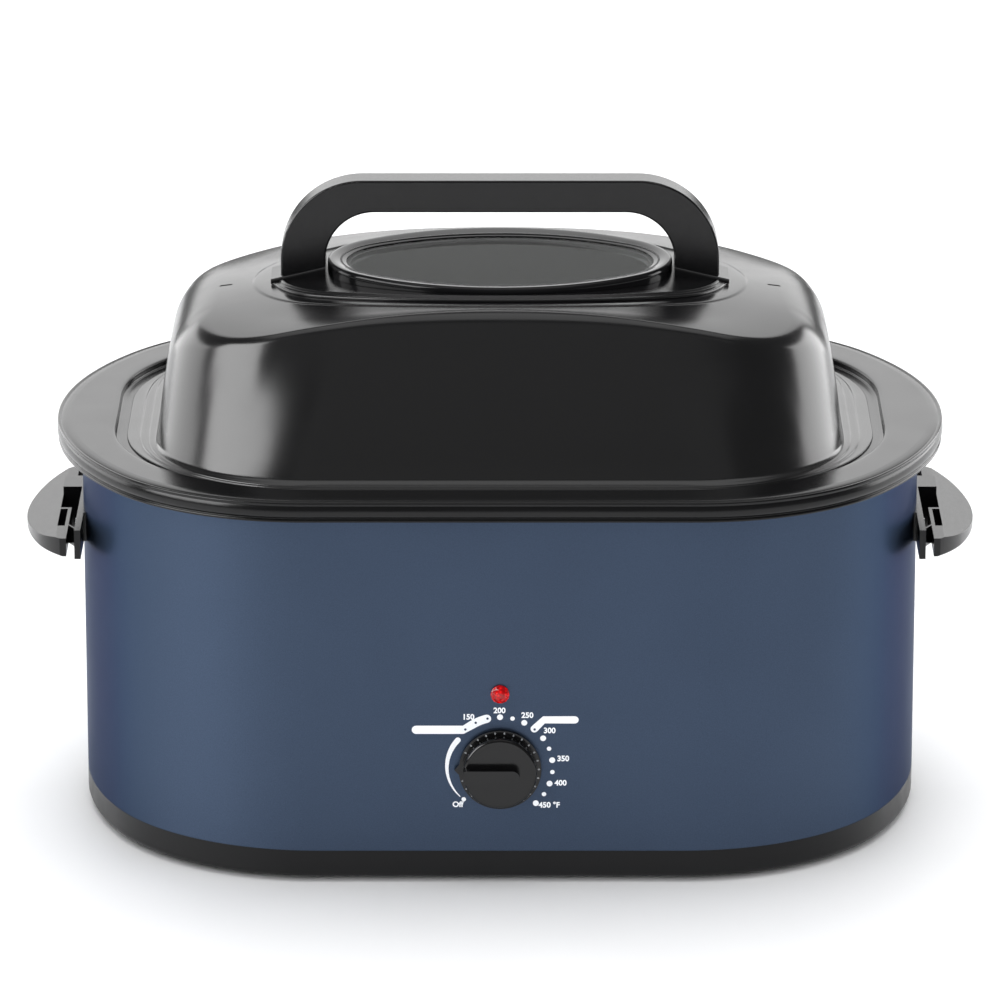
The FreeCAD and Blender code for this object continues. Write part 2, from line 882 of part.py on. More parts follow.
def combined(kind, label, pieces):
    """Part boolean of several pieces, which it hides."""
    result = doc.addObject(kind, label)
    result.Label = label
    if kind == "Part::Cut":
        result.Base, result.Tool = pieces
    else:
        result.Shapes = pieces
    for piece in pieces:
        piece.Visibility = False
    doc.recompute()
    return result


def make_dome(label, inset):
    """Solid dome: a lofted oval plan that leans inwards, cut to the arched roof, edges rounded."""
    body = new_body(label)
    base = loop(
        sketch_on(body, "XY_Plane", lid_seat),
        rounded(
            dome_half_length - inset, dome_half_depth - inset, dim.dome_corner_radius - inset
        ),
    )
    crown = loop(
        sketch_on(body, "XY_Plane", lid_seat + dim.dome_loft_height),
        rounded(
            dome_half_length - dim.dome_end_lean - inset,
            dome_half_depth - dim.dome_front_lean - inset,
            dim.dome_top_corner_radius - inset,
        ),
    )
    loft = body.newObject("PartDesign::AdditiveLoft", f"{body.Name}_loft")
    loft.Profile = base
    loft.Sections = [crown]
    loft.Ruled = True
    doc.recompute()
    cut_crown(body, -inset, above=True)

    def roof_edge(edge):
        return edge.BoundBox.ZMin > (lid_seat + dim.roof_edge_radius).value

    fillet(body, roof_edge, dim.roof_edge_radius - inset)
    return body


dome = make_dome("dome_form", 0)
hollow = make_dome("dome_hollow", dim.lid_wall)


def make_lid_shell():
    """Dome with its walls, the flange that rests on the pan's ledge and the skirt that centres it."""
    flange = new_body("flange_form")
    edge = rounded(flange_half_length, flange_half_depth, dim.flange_corner_radius)
    pad(loop(sketch_on(flange, "XY_Plane", lid_seat), edge), dim.lid_wall)
    skirt = sketch_on(flange, "XY_Plane", lid_seat - dim.skirt_height)
    loop(skirt, tub_outline(-dim.skirt_play))
    pad(skirt, dim.skirt_height)
    bore = new_body("skirt_bore")
    below = lid_seat - dim.skirt_height
    inner = tub_outline(-dim.skirt_play - dim.lid_wall)
    pad(loop(sketch_on(bore, "XY_Plane", below), inner), dim.skirt_height + dim.lid_wall)
    window = new_body("window_cut")
    low = dim.roof_top - dim.roof_edge_radius
    pad(loop(sketch_on(window, "XY_Plane", low), glass_outline(-dim.gasket_wall)), 2 * dim.roof_edge_radius)
    slits = new_body("steam_slit_cut")
    slit_sketch = sketch_on(slits, "XY_Plane", low)
    for side in (-1, 1):
        slit_x = side * (dome_half_length - dim.steam_slit_inset)
        loop(slit_sketch, box(
            slit_x - dim.steam_slit_length / 2, -dim.steam_slit_width / 2,
            slit_x + dim.steam_slit_length / 2, dim.steam_slit_width / 2,
        ))
    pad(slit_sketch, 2 * dim.roof_edge_radius)
    vent = new_body("side_vent_cut")
    vent_sketch = sketch_on(vent, "YZ_Plane", dome_half_length)
    loop(vent_sketch, box(
        -dim.side_vent_width / 2, dim.side_vent_place_z - dim.side_vent_height / 2,
        dim.side_vent_width / 2, dim.side_vent_place_z + dim.side_vent_height / 2,
    ))
    pad(vent_sketch, dim.dome_end_lean + 4 * dim.lid_wall, reverse=True)
    screws = new_body("lid_screw_cut")
    drill_sketch = discs(screws, "XY_Plane", low, lid_screw_places + bezel_screw_places, screw_hole_radius)
    pad(drill_sketch, 2 * dim.roof_edge_radius)
    shell = combined("Part::MultiFuse", "lid_outside", [dome, flange])
    for tool in (hollow, bore, window, slits, vent):
        shell = combined("Part::Cut", f"lid_less_{tool.Label}", [shell, tool])
    return combined("Part::Cut", "lid_shell", [shell, screws])


lid_screw_y = dim.lid_foot_depth / 4
lid_screw_places = four_places(dim.lid_screw_place, lid_screw_y)
gasket_grow = dim.glass_lap + dim.gasket_wall
bezel_screw_y = (dim.glass_half_depth + gasket_grow + dim.bezel_half_depth) / 2
bezel_screw_places = [(0, -bezel_screw_y), (0, bezel_screw_y)]
screw_head = dim.screw_head_radius
handle_screw_seat = roof_height(
    dim.lid_screw_place + screw_head, lid_screw_y + screw_head, -dim.lid_wall
)
bezel_screw_seat = roof_height(screw_head, bezel_screw_y + screw_head, -dim.lid_wall)
handle_screw_tip = handle_screw_seat + dim.lid_screw_length
bezel_screw_tip = bezel_screw_seat + dim.screw_length
glass_bottom = dim.roof_top + dim.glass_lift
glass_top = glass_bottom + dim.glass_thickness
bezel_top = glass_top + dim.bezel_lip


def make_plate():
    """Arched plastic plate that carries the handle and surrounds the window."""
    body = new_body("handle_plate")
    sketch = sketch_on(body, "XY_Plane", dim.roof_top - dim.roof_edge_radius)
    loop(sketch, egg(dim.plate_half_length, dim.plate_half_depth, dim.plate_end_radius))
    loop(sketch, glass_outline(gasket_grow))
    pad(sketch, 2 * dim.roof_edge_radius)
    cut_crown(body, 0, above=False)
    cut_crown(body, dim.plate_thickness, above=True)
    drill(
        body, "XY_Plane", dim.roof_top + dim.plate_thickness, lid_screw_places + bezel_screw_places,
        screw_hole_radius, dim.roof_edge_radius,
    )
    return body


def make_gasket():
    body = new_body("window_gasket")
    low = dim.roof_top - dim.roof_edge_radius
    sketch = sketch_on(body, "XY_Plane", low)
    loop(sketch, glass_outline(gasket_grow))
    loop(sketch, glass_outline(-dim.gasket_wall))
    pad(sketch, glass_top - low)
    cut_crown(body, 0, above=False)
    seat = sketch_on(body, "XY_Plane", glass_top)
    pocket(loop(seat, glass_outline(dim.glass_lap)), dim.glass_thickness)
    return body


def make_glass():
    body = new_body("window_glass")
    pad(loop(sketch_on(body, "XY_Plane", glass_bottom), glass_outline(dim.glass_lap)), dim.glass_thickness)
    return body


def make_bezel():
    body = new_body("window_bezel")
    low = dim.roof_top - dim.roof_edge_radius
    sketch = sketch_on(body, "XY_Plane", low)
    loop(sketch, egg(dim.bezel_half_length, dim.bezel_half_depth, dim.bezel_end_radius))
    loop(sketch, glass_outline())
    pad(sketch, bezel_top - low)
    pocket(
        loop(sketch_on(body, "XY_Plane", low), glass_outline(gasket_grow)),
        glass_top - low, reverse=True,
    )
    cut_crown(body, dim.plate_thickness, above=False)
    fillet(body, level(bezel_top, dim.glass_half_depth + dim.bezel_lip), dim.bezel_lip / 2)
    drill(
        body, "XY_Plane", low, bezel_screw_places, dim.screw_radius,
        bezel_screw_tip - low, reverse=True,
    )
    return body


def make_lid_handle():
    """Arched grip bar on two feet that stand on the plate."""
    body = new_body("lid_handle")
    length = dim.lid_handle_half_length
    inner = dim.lid_handle_inner_half
    top = dim.lid_handle_top
    under = top - dim.lid_handle_thickness
    low = dim.roof_top - dim.roof_edge_radius
    outer_arc = dim.lid_handle_corner_radius
    inner_arc = dim.lid_handle_inner_radius
    arch = sketch_on(body, "XZ_Plane")
    loop(arch, [
        (-length, low),
        (-inner, low),
        (-inner, under - inner_arc, -inner_arc),
        (-(inner - inner_arc), under),
        (inner - inner_arc, under, -inner_arc),
        (inner, under - inner_arc),
        (inner, low),
        (length, low),
        (length, top - outer_arc, outer_arc),
        (length - outer_arc, top),
        (-(length - outer_arc), top, outer_arc),
        (-length, top - outer_arc),
    ])
    pad(arch, dim.lid_handle_depth, both=True)
    half_depth = dim.lid_handle_depth.value / 2

    def face_edge(edge):
        bounds = edge.BoundBox
        on_face = bounds.YLength < 1e-3 and abs(abs(bounds.YMin) - half_depth) < 1e-3
        return on_face and bounds.ZMax > low.value + 1

    fillet(body, face_edge, dim.lid_handle_edge_radius)
    foot_top = dim.roof_top + dim.lid_foot_height
    foot_end = dim.lid_foot_half_length
    end_top = foot_top - dim.lid_foot_fall
    feet = sketch_on(body, "XZ_Plane")
    loop(feet, [(inner, low), (foot_end, low), (foot_end, end_top), (inner, foot_top)])
    loop(feet, [(-inner, low), (-inner, foot_top), (-foot_end, end_top), (-foot_end, low)])
    pad(feet, dim.lid_foot_depth, both=True)
    fillet(body, foot_edges(foot_top), dim.lid_foot_edge_radius)
    cut_crown(body, dim.plate_thickness, above=False)
    drill(
        body, "XY_Plane", low, lid_screw_places, dim.screw_radius,
        handle_screw_tip - low, reverse=True,
    )
    return body


def foot_edges(height):
    """Long front and back edges on the sloping tops of the lid handle's feet."""
    place = dim.lid_foot_depth.value / 2

    def test(edge):
        bounds = edge.BoundBox
        along = bounds.YLength < 1e-3 and bounds.XLength > 1
        return along and abs(bounds.ZMax - height.value) < 1e-3 and abs(abs(bounds.YMin) - place) < 1e-3

    return test


make_lid_shell()
make_plate()
make_gasket()
make_glass()
make_bezel()
make_lid_handle()
screw_group("lid_handle_screws", "XY_Plane", handle_screw_seat, lid_screw_places, dim.lid_screw_length, -1)
screw_group("window_screws", "XY_Plane", bezel_screw_seat, bezel_screw_places, dim.screw_length, -1)


# ---------------------------------------------------------------- side handles

mount_face = dim.body_half_length + dim.mount_stand
rib_inner = mount_face + dim.rest_gap
slot_inner = rib_inner + dim.rib_wall
slot_outer = slot_inner + dim.rib_slot_width
mount_height = dim.mount_top - dim.mount_bottom
grip_height = dim.grip_top - dim.grip_bottom


def make_right_handle():
    """Moulded grip: a flat D with a floored lid-rest slot, a bridge and webs to its mounting plate."""
    body = new_body("right_handle")
    end_x = dim.body_half_length + dim.grip_end_reach
    corner_x = dim.body_half_length + dim.grip_corner_reach
    width = dim.grip_half_width
    place = dim.grip_corner_place
    grip = sketch_on(body, "XY_Plane", dim.grip_bottom)
    loop(grip, [
        (rib_inner, -width),
        (end_x, -width, dim.grip_corner_radius),
        (corner_x, -place, dim.grip_front_radius),
        (corner_x, place, dim.grip_corner_radius),
        (end_x, width),
        (rib_inner, width),
        (rib_inner, dim.bridge_near),
        (slot_outer, dim.bridge_near),
        (slot_outer, -dim.notch_front),
        (rib_inner, -dim.notch_front),
    ])
    loop(grip, box(slot_inner, -dim.slot_far, slot_outer, -dim.slot_near))
    pad(grip, grip_height)
    far = dim.body_half_length + dim.grip_far_reach
    slope = loop(sketch_on(body, "XZ_Plane"), [
        (slot_outer, dim.grip_top),
        (far, dim.grip_top - dim.grip_slope),
        (far, dim.grip_top + 1),
        (slot_outer, dim.grip_top + 1),
    ])
    pocket(slope, 2 * width + 2, both=True)

    def rim_edge(edge):
        bounds = edge.BoundBox
        low = bounds.ZMax < dim.grip_bottom.value + 1e-3
        return low and bounds.XMax > end_x.value + 1 and bounds.YLength > 1

    fillet(body, rim_edge, dim.grip_edge_radius)
    web = loop(sketch_on(body, "XY_Plane", dim.grip_bottom), [
        (mount_face, -(dim.web_place + dim.web_run)),
        (rib_inner, -dim.web_place),
        (rib_inner, dim.web_wall - dim.web_place),
        (mount_face, dim.web_wall - dim.web_place - dim.web_run),
    ])
    loop(web, box(mount_face, width - dim.web_wall, rib_inner, width))
    pad(web, grip_height)
    slot_floor = loop(
        sketch_on(body, "XY_Plane", dim.grip_bottom),
        box(mount_face, -dim.web_place, slot_outer, dim.bridge_near),
    )
    pad(slot_floor, dim.web_wall)
    bridge = loop(
        sketch_on(body, "XY_Plane", dim.grip_bottom),
        box(mount_face, dim.bridge_near, slot_outer, dim.bridge_far),
    )
    pad(bridge, grip_height + dim.bridge_rise)
    plate = sketch_on(body, "XY_Plane", dim.mount_bottom)
    pad(loop(plate, box(mount_face - dim.mount_thickness, -width, mount_face, width)), mount_height)
    saddle = sketch_on(body, "XY_Plane", dim.mount_bottom)
    loop(saddle, box(
        dim.body_half_length - dim.saddle_reach, -dim.saddle_front, mount_face, dim.saddle_rear
    ))
    pad(saddle, mount_height)
    pocket(
        loop(sketch_on(body, "XY_Plane", dim.mount_bottom), body_outline()), mount_height, reverse=True
    )
    drill(body, "YZ_Plane", mount_face, grip_screw_places, screw_hole_radius, end_cut + dim.mount_thickness)
    return body


def make_right_backing():
    """Curved strip behind the body wall that the handle's screws pull against."""
    body = new_body("right_backing_plate")
    centre = dim.body_half_length - dim.body_end_radius
    outer = dim.body_end_radius - dim.body_wall
    inner = outer - dim.backing_wall
    half = dim.backing_half_width
    outer_x = centre + root(outer * outer - half * half)
    inner_x = centre + root(inner * inner - half * half)
    sketch = loop(sketch_on(body, "XY_Plane", dim.grip_screw_height - dim.backing_half_height), [
        (inner_x, -half),
        (outer_x, -half, outer),
        (outer_x, half),
        (inner_x, half, -inner),
    ])
    pad(sketch, 2 * dim.backing_half_height)
    drill(body, "YZ_Plane", dim.body_half_length, grip_screw_places, dim.screw_radius, end_cut)
    return body


mirrored("left_handle", make_right_handle())
mirrored("left_backing_plate", make_right_backing())
right_screws = screw_group(
    "right_handle_screws", "YZ_Plane", mount_face, grip_screw_places, dim.grip_screw_length
)
mirrored("left_handle_screws", right_screws)


# ---------------------------------------------------------------- knob, thermostat and lamp

knob_back = front_face + dim.knob_gap
thermostat_front = wall_inside - dim.bracket_thickness
thermostat_back = thermostat_front - dim.thermostat_depth
shaft_end = thermostat_back + 2 * dim.thermostat_back_wall
shaft_centre = [(0, dim.knob_height)]


def make_knob():
    """Round knob on a skirt, with a raised finger bar and a pointer; at rest it points to -X."""
    body = new_body("knob")
    pad(discs(body, "XZ_Plane", knob_back, shaft_centre, dim.skirt_radius), dim.skirt_thickness)
    pad(discs(body, "XZ_Plane", knob_back, shaft_centre, dim.knob_radius), dim.knob_depth)
    face = -(knob_back + dim.knob_depth).value

    def face_edge(edge):
        return edge.BoundBox.YLength < 1e-3 and abs(edge.BoundBox.YMin - face) < 1e-3

    fillet(body, face_edge, dim.knob_edge_radius)
    half = dim.bar_half_width
    reach = dim.bar_right_reach
    left = root(dim.knob_radius * dim.knob_radius - half * half)
    bar = loop(sketch_on(body, "XZ_Plane", knob_back + dim.knob_depth / 2), [
        (-left, dim.knob_height - half),
        (reach - half, dim.knob_height - half, half),
        (reach, dim.knob_height, half),
        (reach - half, dim.knob_height + half),
        (-left, dim.knob_height + half, dim.knob_radius),
    ])
    pad(bar, dim.knob_depth / 2 + dim.bar_depth)
    nib = loop(sketch_on(body, "XZ_Plane", knob_back), [
        (-dim.nib_reach, dim.knob_height),
        (-dim.knob_radius, dim.knob_height - dim.nib_half_width),
        (-dim.knob_radius, dim.knob_height + dim.nib_half_width),
    ])
    pad(nib, dim.skirt_thickness)
    drill(body, "XZ_Plane", knob_back, shaft_centre, dim.shaft_radius, dim.shaft_in_knob, reverse=True)
    return body


def make_shaft():
    body = new_body("knob_shaft")
    length = knob_back + dim.shaft_in_knob - shaft_end
    pad(discs(body, "XZ_Plane", shaft_end, shaft_centre, dim.shaft_radius), length)
    return body


def make_bracket():
    body = new_body("thermostat_bracket")
    plate = loop(
        sketch_on(body, "XZ_Plane", thermostat_front),
        rounded(
            dim.bracket_half_width, dim.bracket_half_height, dim.bracket_thickness * 2,
            y=dim.knob_height,
        ),
    )
    pad(plate, dim.bracket_thickness)
    drill(
        body, "XZ_Plane", wall_inside, shaft_centre, shaft_hole_radius, dim.bracket_thickness
    )
    return body


def make_thermostat():
    body = new_body("thermostat")
    case = loop(
        sketch_on(body, "XZ_Plane", thermostat_back),
        rounded(
            dim.thermostat_half_width, dim.thermostat_half_height, dim.thermostat_back_wall,
            y=dim.knob_height,
        ),
    )
    pad(case, dim.thermostat_depth)
    bore = dim.shaft_radius + dim.shaft_play
    drill(
        body, "XZ_Plane", thermostat_front, shaft_centre, bore,
        dim.thermostat_depth - dim.thermostat_back_wall,
    )
    return body


def make_sensor_arm():
    """Bent strip that carries the well's heat to the back of the thermostat."""
    body = new_body("sensor_arm")
    well_face = tub_half_depth + well_outside
    thick = dim.sensor_thickness
    crown = well_floor + dim.tub_floor_radius + well_outside + dim.sensor_rise
    sketch = loop(sketch_on(body, "YZ_Plane"), [
        (-thermostat_back, dim.knob_height),
        (thick - thermostat_back, dim.knob_height),
        (thick - thermostat_back, crown - dim.sensor_rise / 2),
        (-well_face, crown - dim.sensor_rise / 2),
        (-well_face, crown),
        (-(well_face + thick), crown),
        (-(well_face + thick), crown - dim.sensor_rise / 2 + thick),
        (-thermostat_back, crown - dim.sensor_rise / 2 + thick),
    ])
    pad(sketch, 2 * dim.sensor_half_width, both=True)
    return body


def make_lens():
    """Red dome lens: a cap, a flange on the wall and a barrel that passes through it."""
    body = new_body("indicator_lens")
    cap_radius = (dim.lens_radius * dim.lens_radius + dim.lens_dome * dim.lens_dome) / (2 * dim.lens_dome)
    flange_face = front_face + dim.lens_flange
    sketch = loop(sketch_on(body, "XY_Plane", dim.lamp_height), [
        (0, -(flange_face + dim.lens_dome), cap_radius),
        (dim.lens_radius, -flange_face),
        (dim.lens_radius, -front_face),
        (dim.lens_barrel_radius, -front_face),
        (dim.lens_barrel_radius, dim.lens_barrel_length - front_face),
        (0, dim.lens_barrel_length - front_face),
    ])
    turn = body.newObject("PartDesign::Revolution", "indicator_lens_turn")
    turn.Profile = sketch
    turn.ReferenceAxis = (sketch, ["V_Axis"])
    turn.Angle = 360
    sketch.Visibility = False
    doc.recompute()
    return body


def make_lamp():
    body = new_body("indicator_lamp")
    back = front_face - dim.lens_barrel_length - dim.lamp_length
    pad(discs(body, "XZ_Plane", back, [(0, dim.lamp_height)], dim.lamp_radius), dim.lamp_length)
    return body


def make_lamp_clip():
    body = new_body("lamp_clip")
    sketch = discs(
        body, "XZ_Plane", wall_inside - dim.clip_thickness, [(0, dim.lamp_height)], dim.clip_radius
    )
    disc(sketch, 0, dim.lamp_height, dim.lens_barrel_radius)
    pad(sketch, dim.clip_thickness)
    return body


make_knob()
make_shaft()
make_bracket()
make_thermostat()
make_sensor_arm()
make_lens()
make_lamp()
make_lamp_clip()


# ---------------------------------------------------------------- mains entry and wiring

gland_centre = [(dim.gland_place_x, dim.gland_height)]
gland_face = front_face + dim.gland_flange
gland_end = gland_face + dim.gland_sleeve
gland_start = wall_inside - dim.gland_inner
floor_level = dim.foot_height + dim.tray_floor
block_place_y = dim.body_half_depth - dim.block_inset


def make_gland():
    """Strain relief in the back wall: neck, flange and a ribbed sleeve, bored for the cord, wider inside."""
    body = new_body("cord_gland")
    pad(discs(body, "XZ_Plane", -gland_face, gland_centre, dim.gland_neck_radius), gland_face - gland_start)
    pad(discs(body, "XZ_Plane", -gland_face, gland_centre, dim.gland_flange_radius), dim.gland_flange)
    pad(discs(body, "XZ_Plane", -gland_end, gland_centre, dim.gland_tip_radius), dim.gland_sleeve)
    taper = dim.gland_flange_radius - dim.gland_tip_radius
    for rib in (1, 2, 3):
        rib_radius = dim.gland_flange_radius - taper * rib / 4
        rib_place = gland_face + dim.gland_sleeve * rib / 4
        pad(discs(body, "XZ_Plane", -rib_place, gland_centre, rib_radius), dim.sleeve_rib)
    drill(
        body, "XZ_Plane", -gland_end, gland_centre, dim.gland_bore_radius,
        gland_end - gland_start, reverse=True,
    )
    drill(
        body, "XZ_Plane", -gland_face, gland_centre, dim.gland_throat_radius,
        gland_face - gland_start, reverse=True,
    )
    return body


def make_gland_nut():
    body = new_body("gland_nut")
    sketch = discs(body, "XZ_Plane", -wall_inside, gland_centre, dim.gland_flange_radius)
    disc(sketch, dim.gland_place_x, dim.gland_height, dim.gland_neck_radius)
    pad(sketch, dim.nut_thickness)
    return body


def make_block():
    body = new_body("terminal_block")
    sketch = loop(
        sketch_on(body, "XY_Plane", floor_level),
        rounded(dim.block_half_length, dim.block_half_depth, dim.nut_thickness / 2, y=block_place_y),
    )
    pad(sketch, dim.block_height)
    return body


def route(sketch, points):
    """Open path of straight lengths through the points."""
    first = sketch.GeometryCount
    places = [FreeCAD.Vector(as_size(y).value, as_size(z).value, 0) for y, z in points]
    for i, (start, end) in enumerate(zip(places, places[1:])):
        sketch.addGeometry(Part.LineSegment(start, end))
        if i:
            sketch.addConstraint(Sketcher.Constraint("Coincident", first + i - 1, 2, first + i, 1))
        bind(sketch, "DistanceX", (-1, 1, first + i, 1), points[i][0])
        bind(sketch, "DistanceY", (-1, 1, first + i, 1), points[i][1])
    last = first + len(points) - 2
    bind(sketch, "DistanceX", (-1, 1, last, 2), points[-1][0])
    bind(sketch, "DistanceY", (-1, 1, last, 2), points[-1][1])
    return sketch


def make_lead(label, x, points):
    """Insulated wire in a plane across the oven; its first length runs up or down."""
    body = new_body(label)
    path = route(sketch_on(body, "YZ_Plane", x), points)
    profile = disc(sketch_on(body, "XY_Plane", points[0][1]), x, points[0][0], dim.lead_radius)
    pipe = body.newObject("PartDesign::AdditivePipe", f"{body.Name}_pipe")
    pipe.Profile = profile
    pipe.Spine = (path, [])
    pipe.Transition = "Round corner"
    path.Visibility = False
    doc.recompute()
    return body


def make_fuse():
    """Thermal cut-out that lies against the well's underside."""
    body = new_body("thermal_fuse")
    axis = well_floor - dim.well_wall - dim.fuse_radius
    pad(
        discs(body, "XZ_Plane", -dim.fuse_rear, [(-dim.lead_place_x, axis)], dim.fuse_radius),
        dim.fuse_length,
    )
    return body


make_gland()
make_gland_nut()
make_block()
make_fuse()
lead_gap = well_outside + dim.heater_thickness + dim.blanket_thickness / 2
lead_up = -(tub_half_depth + lead_gap)
fuse_level = well_floor - dim.well_wall - dim.fuse_radius
floor_run = floor_level + dim.lead_drop
thermostat_underside = dim.knob_height - dim.thermostat_half_height
make_lead("thermostat_lead", dim.lead_place_x, [
    (dim.thermostat_depth / 2 - thermostat_front, thermostat_underside),
    (dim.thermostat_depth / 2 - thermostat_front, floor_run),
    (block_place_y - dim.block_half_depth, floor_run),
])
make_lead("fuse_lead", -dim.lead_place_x, [
    (block_place_y, floor_level + dim.block_height),
    (block_place_y, fuse_level),
    (dim.fuse_rear, fuse_level),
])
make_lead("heater_lead", -dim.lead_place_x, [
    (lead_up, blanket_bottom),
    (lead_up, fuse_level - dim.lead_drop),
    (dim.fuse_rear - dim.fuse_length - 2 * dim.lead_drop, fuse_level - dim.lead_drop),
    (dim.fuse_rear - dim.fuse_length - dim.lead_drop, fuse_level),
    (dim.fuse_rear - dim.fuse_length, fuse_level),
])


# ---------------------------------------------------------------- export

NODES = (
    "base_tray", "bottom_cover", "cover_screws", "feet", "foot_screws", "outer_body",
    "heating_well", "well_screws", "heater_band", "insulation_blanket", "cooking_pan",
    "roasting_rack", "rack_grips", "lid_shell", "handle_plate", "window_gasket", "window_glass",
    "window_bezel", "window_screws", "lid_handle", "lid_handle_screws", "right_handle",
    "left_handle", "right_handle_screws", "left_handle_screws", "right_backing_plate",
    "left_backing_plate", "knob", "knob_shaft", "thermostat", "thermostat_bracket", "sensor_arm",
    "indicator_lens", "indicator_lamp", "lamp_clip", "cord_gland", "gland_nut", "terminal_block",
    "thermal_fuse", "thermostat_lead", "fuse_lead", "heater_lead",
)

doc.recompute()
for item in doc.Objects:
    if "Invalid" in item.State or "Error" in item.State:
        raise ValueError(f"{item.Label}: {item.getStatusString()}")
    if item.TypeId == "PartDesign::Pocket" and item.Shape.Volume > item.BaseFeature.Shape.Volume - 1e-3:
        raise ValueError(f"{item.Label} cuts nothing")
for label in NODES:
    piece = doc.getObjectsByLabel(label)[0]
    if piece.Shape.isNull() or not piece.Shape.isValid():
        raise ValueError(f"{label} has no valid shape")
    piece.Shape.exportStep(f"parts/{label}.step")
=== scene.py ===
import bmesh
import bpy
import math
from mathutils import Matrix, Vector
import numpy as np


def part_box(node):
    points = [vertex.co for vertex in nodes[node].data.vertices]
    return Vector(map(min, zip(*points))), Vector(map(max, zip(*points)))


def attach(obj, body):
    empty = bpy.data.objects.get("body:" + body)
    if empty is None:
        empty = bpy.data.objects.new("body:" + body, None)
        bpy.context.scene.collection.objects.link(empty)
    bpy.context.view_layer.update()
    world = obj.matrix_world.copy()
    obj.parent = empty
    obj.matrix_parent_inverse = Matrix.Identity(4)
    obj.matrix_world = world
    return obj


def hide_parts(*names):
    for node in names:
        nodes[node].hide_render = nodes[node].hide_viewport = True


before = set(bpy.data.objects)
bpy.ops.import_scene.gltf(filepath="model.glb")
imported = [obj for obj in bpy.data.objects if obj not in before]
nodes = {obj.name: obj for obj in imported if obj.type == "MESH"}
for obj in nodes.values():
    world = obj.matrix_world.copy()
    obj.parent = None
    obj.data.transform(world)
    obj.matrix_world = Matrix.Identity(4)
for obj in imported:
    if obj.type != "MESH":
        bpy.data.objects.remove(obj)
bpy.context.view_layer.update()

MM = 0.001
AROUND = 384

# ---------------------------------------------------------------- ovals

# Every outline is symmetric about both axes, so a quarter of it says how far it is from the centre
# at each angle. The rings of all the shells share the same directions and join up point to point.

LONGER = 1.38  # how much longer than deep the ovals are, so that the points are spaced evenly
turn = np.linspace(0, 2 * math.pi, AROUND, endpoint=False)
bearing = np.arctan2(np.sin(turn), LONGER * np.cos(turn))
folded = np.arctan2(np.abs(np.sin(bearing)), np.abs(np.cos(bearing)))


def bend(x, y, radius, first, last):
    angles = np.linspace(first, last, 240)
    return np.column_stack([x + radius * np.cos(angles), y + radius * np.sin(angles)])


def straight(start, end):
    share = np.linspace(0, 1, 200)[:, None]
    return (1 - share) * np.array(start) + share * np.array(end)


def reach(*runs):
    x, y = np.concatenate(runs).T
    return np.interp(folded, np.arctan2(y, x), np.hypot(x, y))


def rounded(half_length, half_depth, radius):
    return reach(
        straight((half_length, 0), (half_length, half_depth - radius)),
        bend(half_length - radius, half_depth - radius, radius, 0, math.pi / 2),
        straight((half_length - radius, half_depth), (0, half_depth)),
    )


def oval(half_length, half_depth, corner_radius, end_radius):
    end_centre = half_length - end_radius
    rise = half_depth - corner_radius
    run = math.sqrt((end_radius - corner_radius) ** 2 - rise**2)
    join = math.atan2(rise, run)
    return reach(
        bend(end_centre, 0, end_radius, 0, join),
        bend(end_centre + run, rise, corner_radius, join, math.pi / 2),
        straight((end_centre + run, half_depth), (0, half_depth)),
    )


def egg(half_length, half_depth, end_radius):
    end_centre = half_length - end_radius
    side = (end_centre**2 + half_depth**2 - end_radius**2) / (2 * (half_depth - end_radius))
    join = math.atan2(side - half_depth, end_centre)
    return reach(
        bend(end_centre, 0, end_radius, 0, join),
        bend(0, half_depth - side, side, join, math.pi / 2),
    )


def body_line(grow=0):
    return oval(257.4 + grow, 173.6 + grow, 139.9 + grow, 217.0 + grow)


def rim_line(grow=0):
    return oval(272.6 + grow, 191.2 + grow, 140.0 + grow, 230.0 + grow)


def opening_line(grow=0):
    return rounded(235 + grow, 165 + grow, 130 + grow)


def tub_line(grow=0):
    return rounded(212 + grow, 143 + grow, 95 + grow)


def flange_line(grow=0):
    return rounded(228 + grow, 158 + grow, 125 + grow)


def plateau_line(grow=0):
    return egg(151 + grow, 89.5 + grow, 68 + grow)


def plate_line(grow=0):
    return egg(140 + grow, 82 + grow, 60 + grow)


def bezel_line(grow=0):
    return egg(105.6 + grow, 71.3 + grow, 53 + grow)


def glass_line(grow=0):
    return egg(94 + grow, 56.5 + grow, 40 + grow)


def mix(first, second, share):
    return first * (1 - share) + second * share


# ---------------------------------------------------------------- mesh helpers

DRAWN_WELD = 0.002  # corners of a drawn shell that are closer than this are one
SOLID_WELD = 0.005  # the same for the mesh of a solid
FLAT = 0.6  # facets that differ by fewer degrees are one face
SHARP = 32  # edges of more degrees than this are rounded


def ring(distance, height):
    """One ring of points in millimetres, at a distance from the centre and a height."""
    return np.column_stack([
        distance * np.cos(bearing), distance * np.sin(bearing), np.broadcast_to(height, distance.shape)
    ])


def eased(rings, times=2):
    """The rings with every corner between them cut, so that a coarse profile turns smoothly."""
    for _ in range(times):
        cut = [rings[0]]
        for before, after in zip(rings, rings[1:]):
            cut += [mix(before, after, 0.25), mix(before, after, 0.75)]
        rings = cut + [rings[-1]]
    return rings


def shell(build, rings, closed=False, capped=False):
    """Quads between successive rings; closed joins the last ring to the first, capped fills the last."""
    count = len(rings[0])
    grid = [[build.verts.new(Vector(point) * MM) for point in points] for points in rings]
    for before, after in zip(grid, grid[1:] + (grid[:1] if closed else [])):
        for i in range(count):
            j = (i + 1) % count
            build.faces.new((before[i], before[j], after[j], after[i]))
    if capped:
        last = grid[-1]
        middle = build.verts.new(sum((v.co for v in last), Vector()) / count)
        for i in range(count):
            build.faces.new((last[i], last[(i + 1) % count], middle))


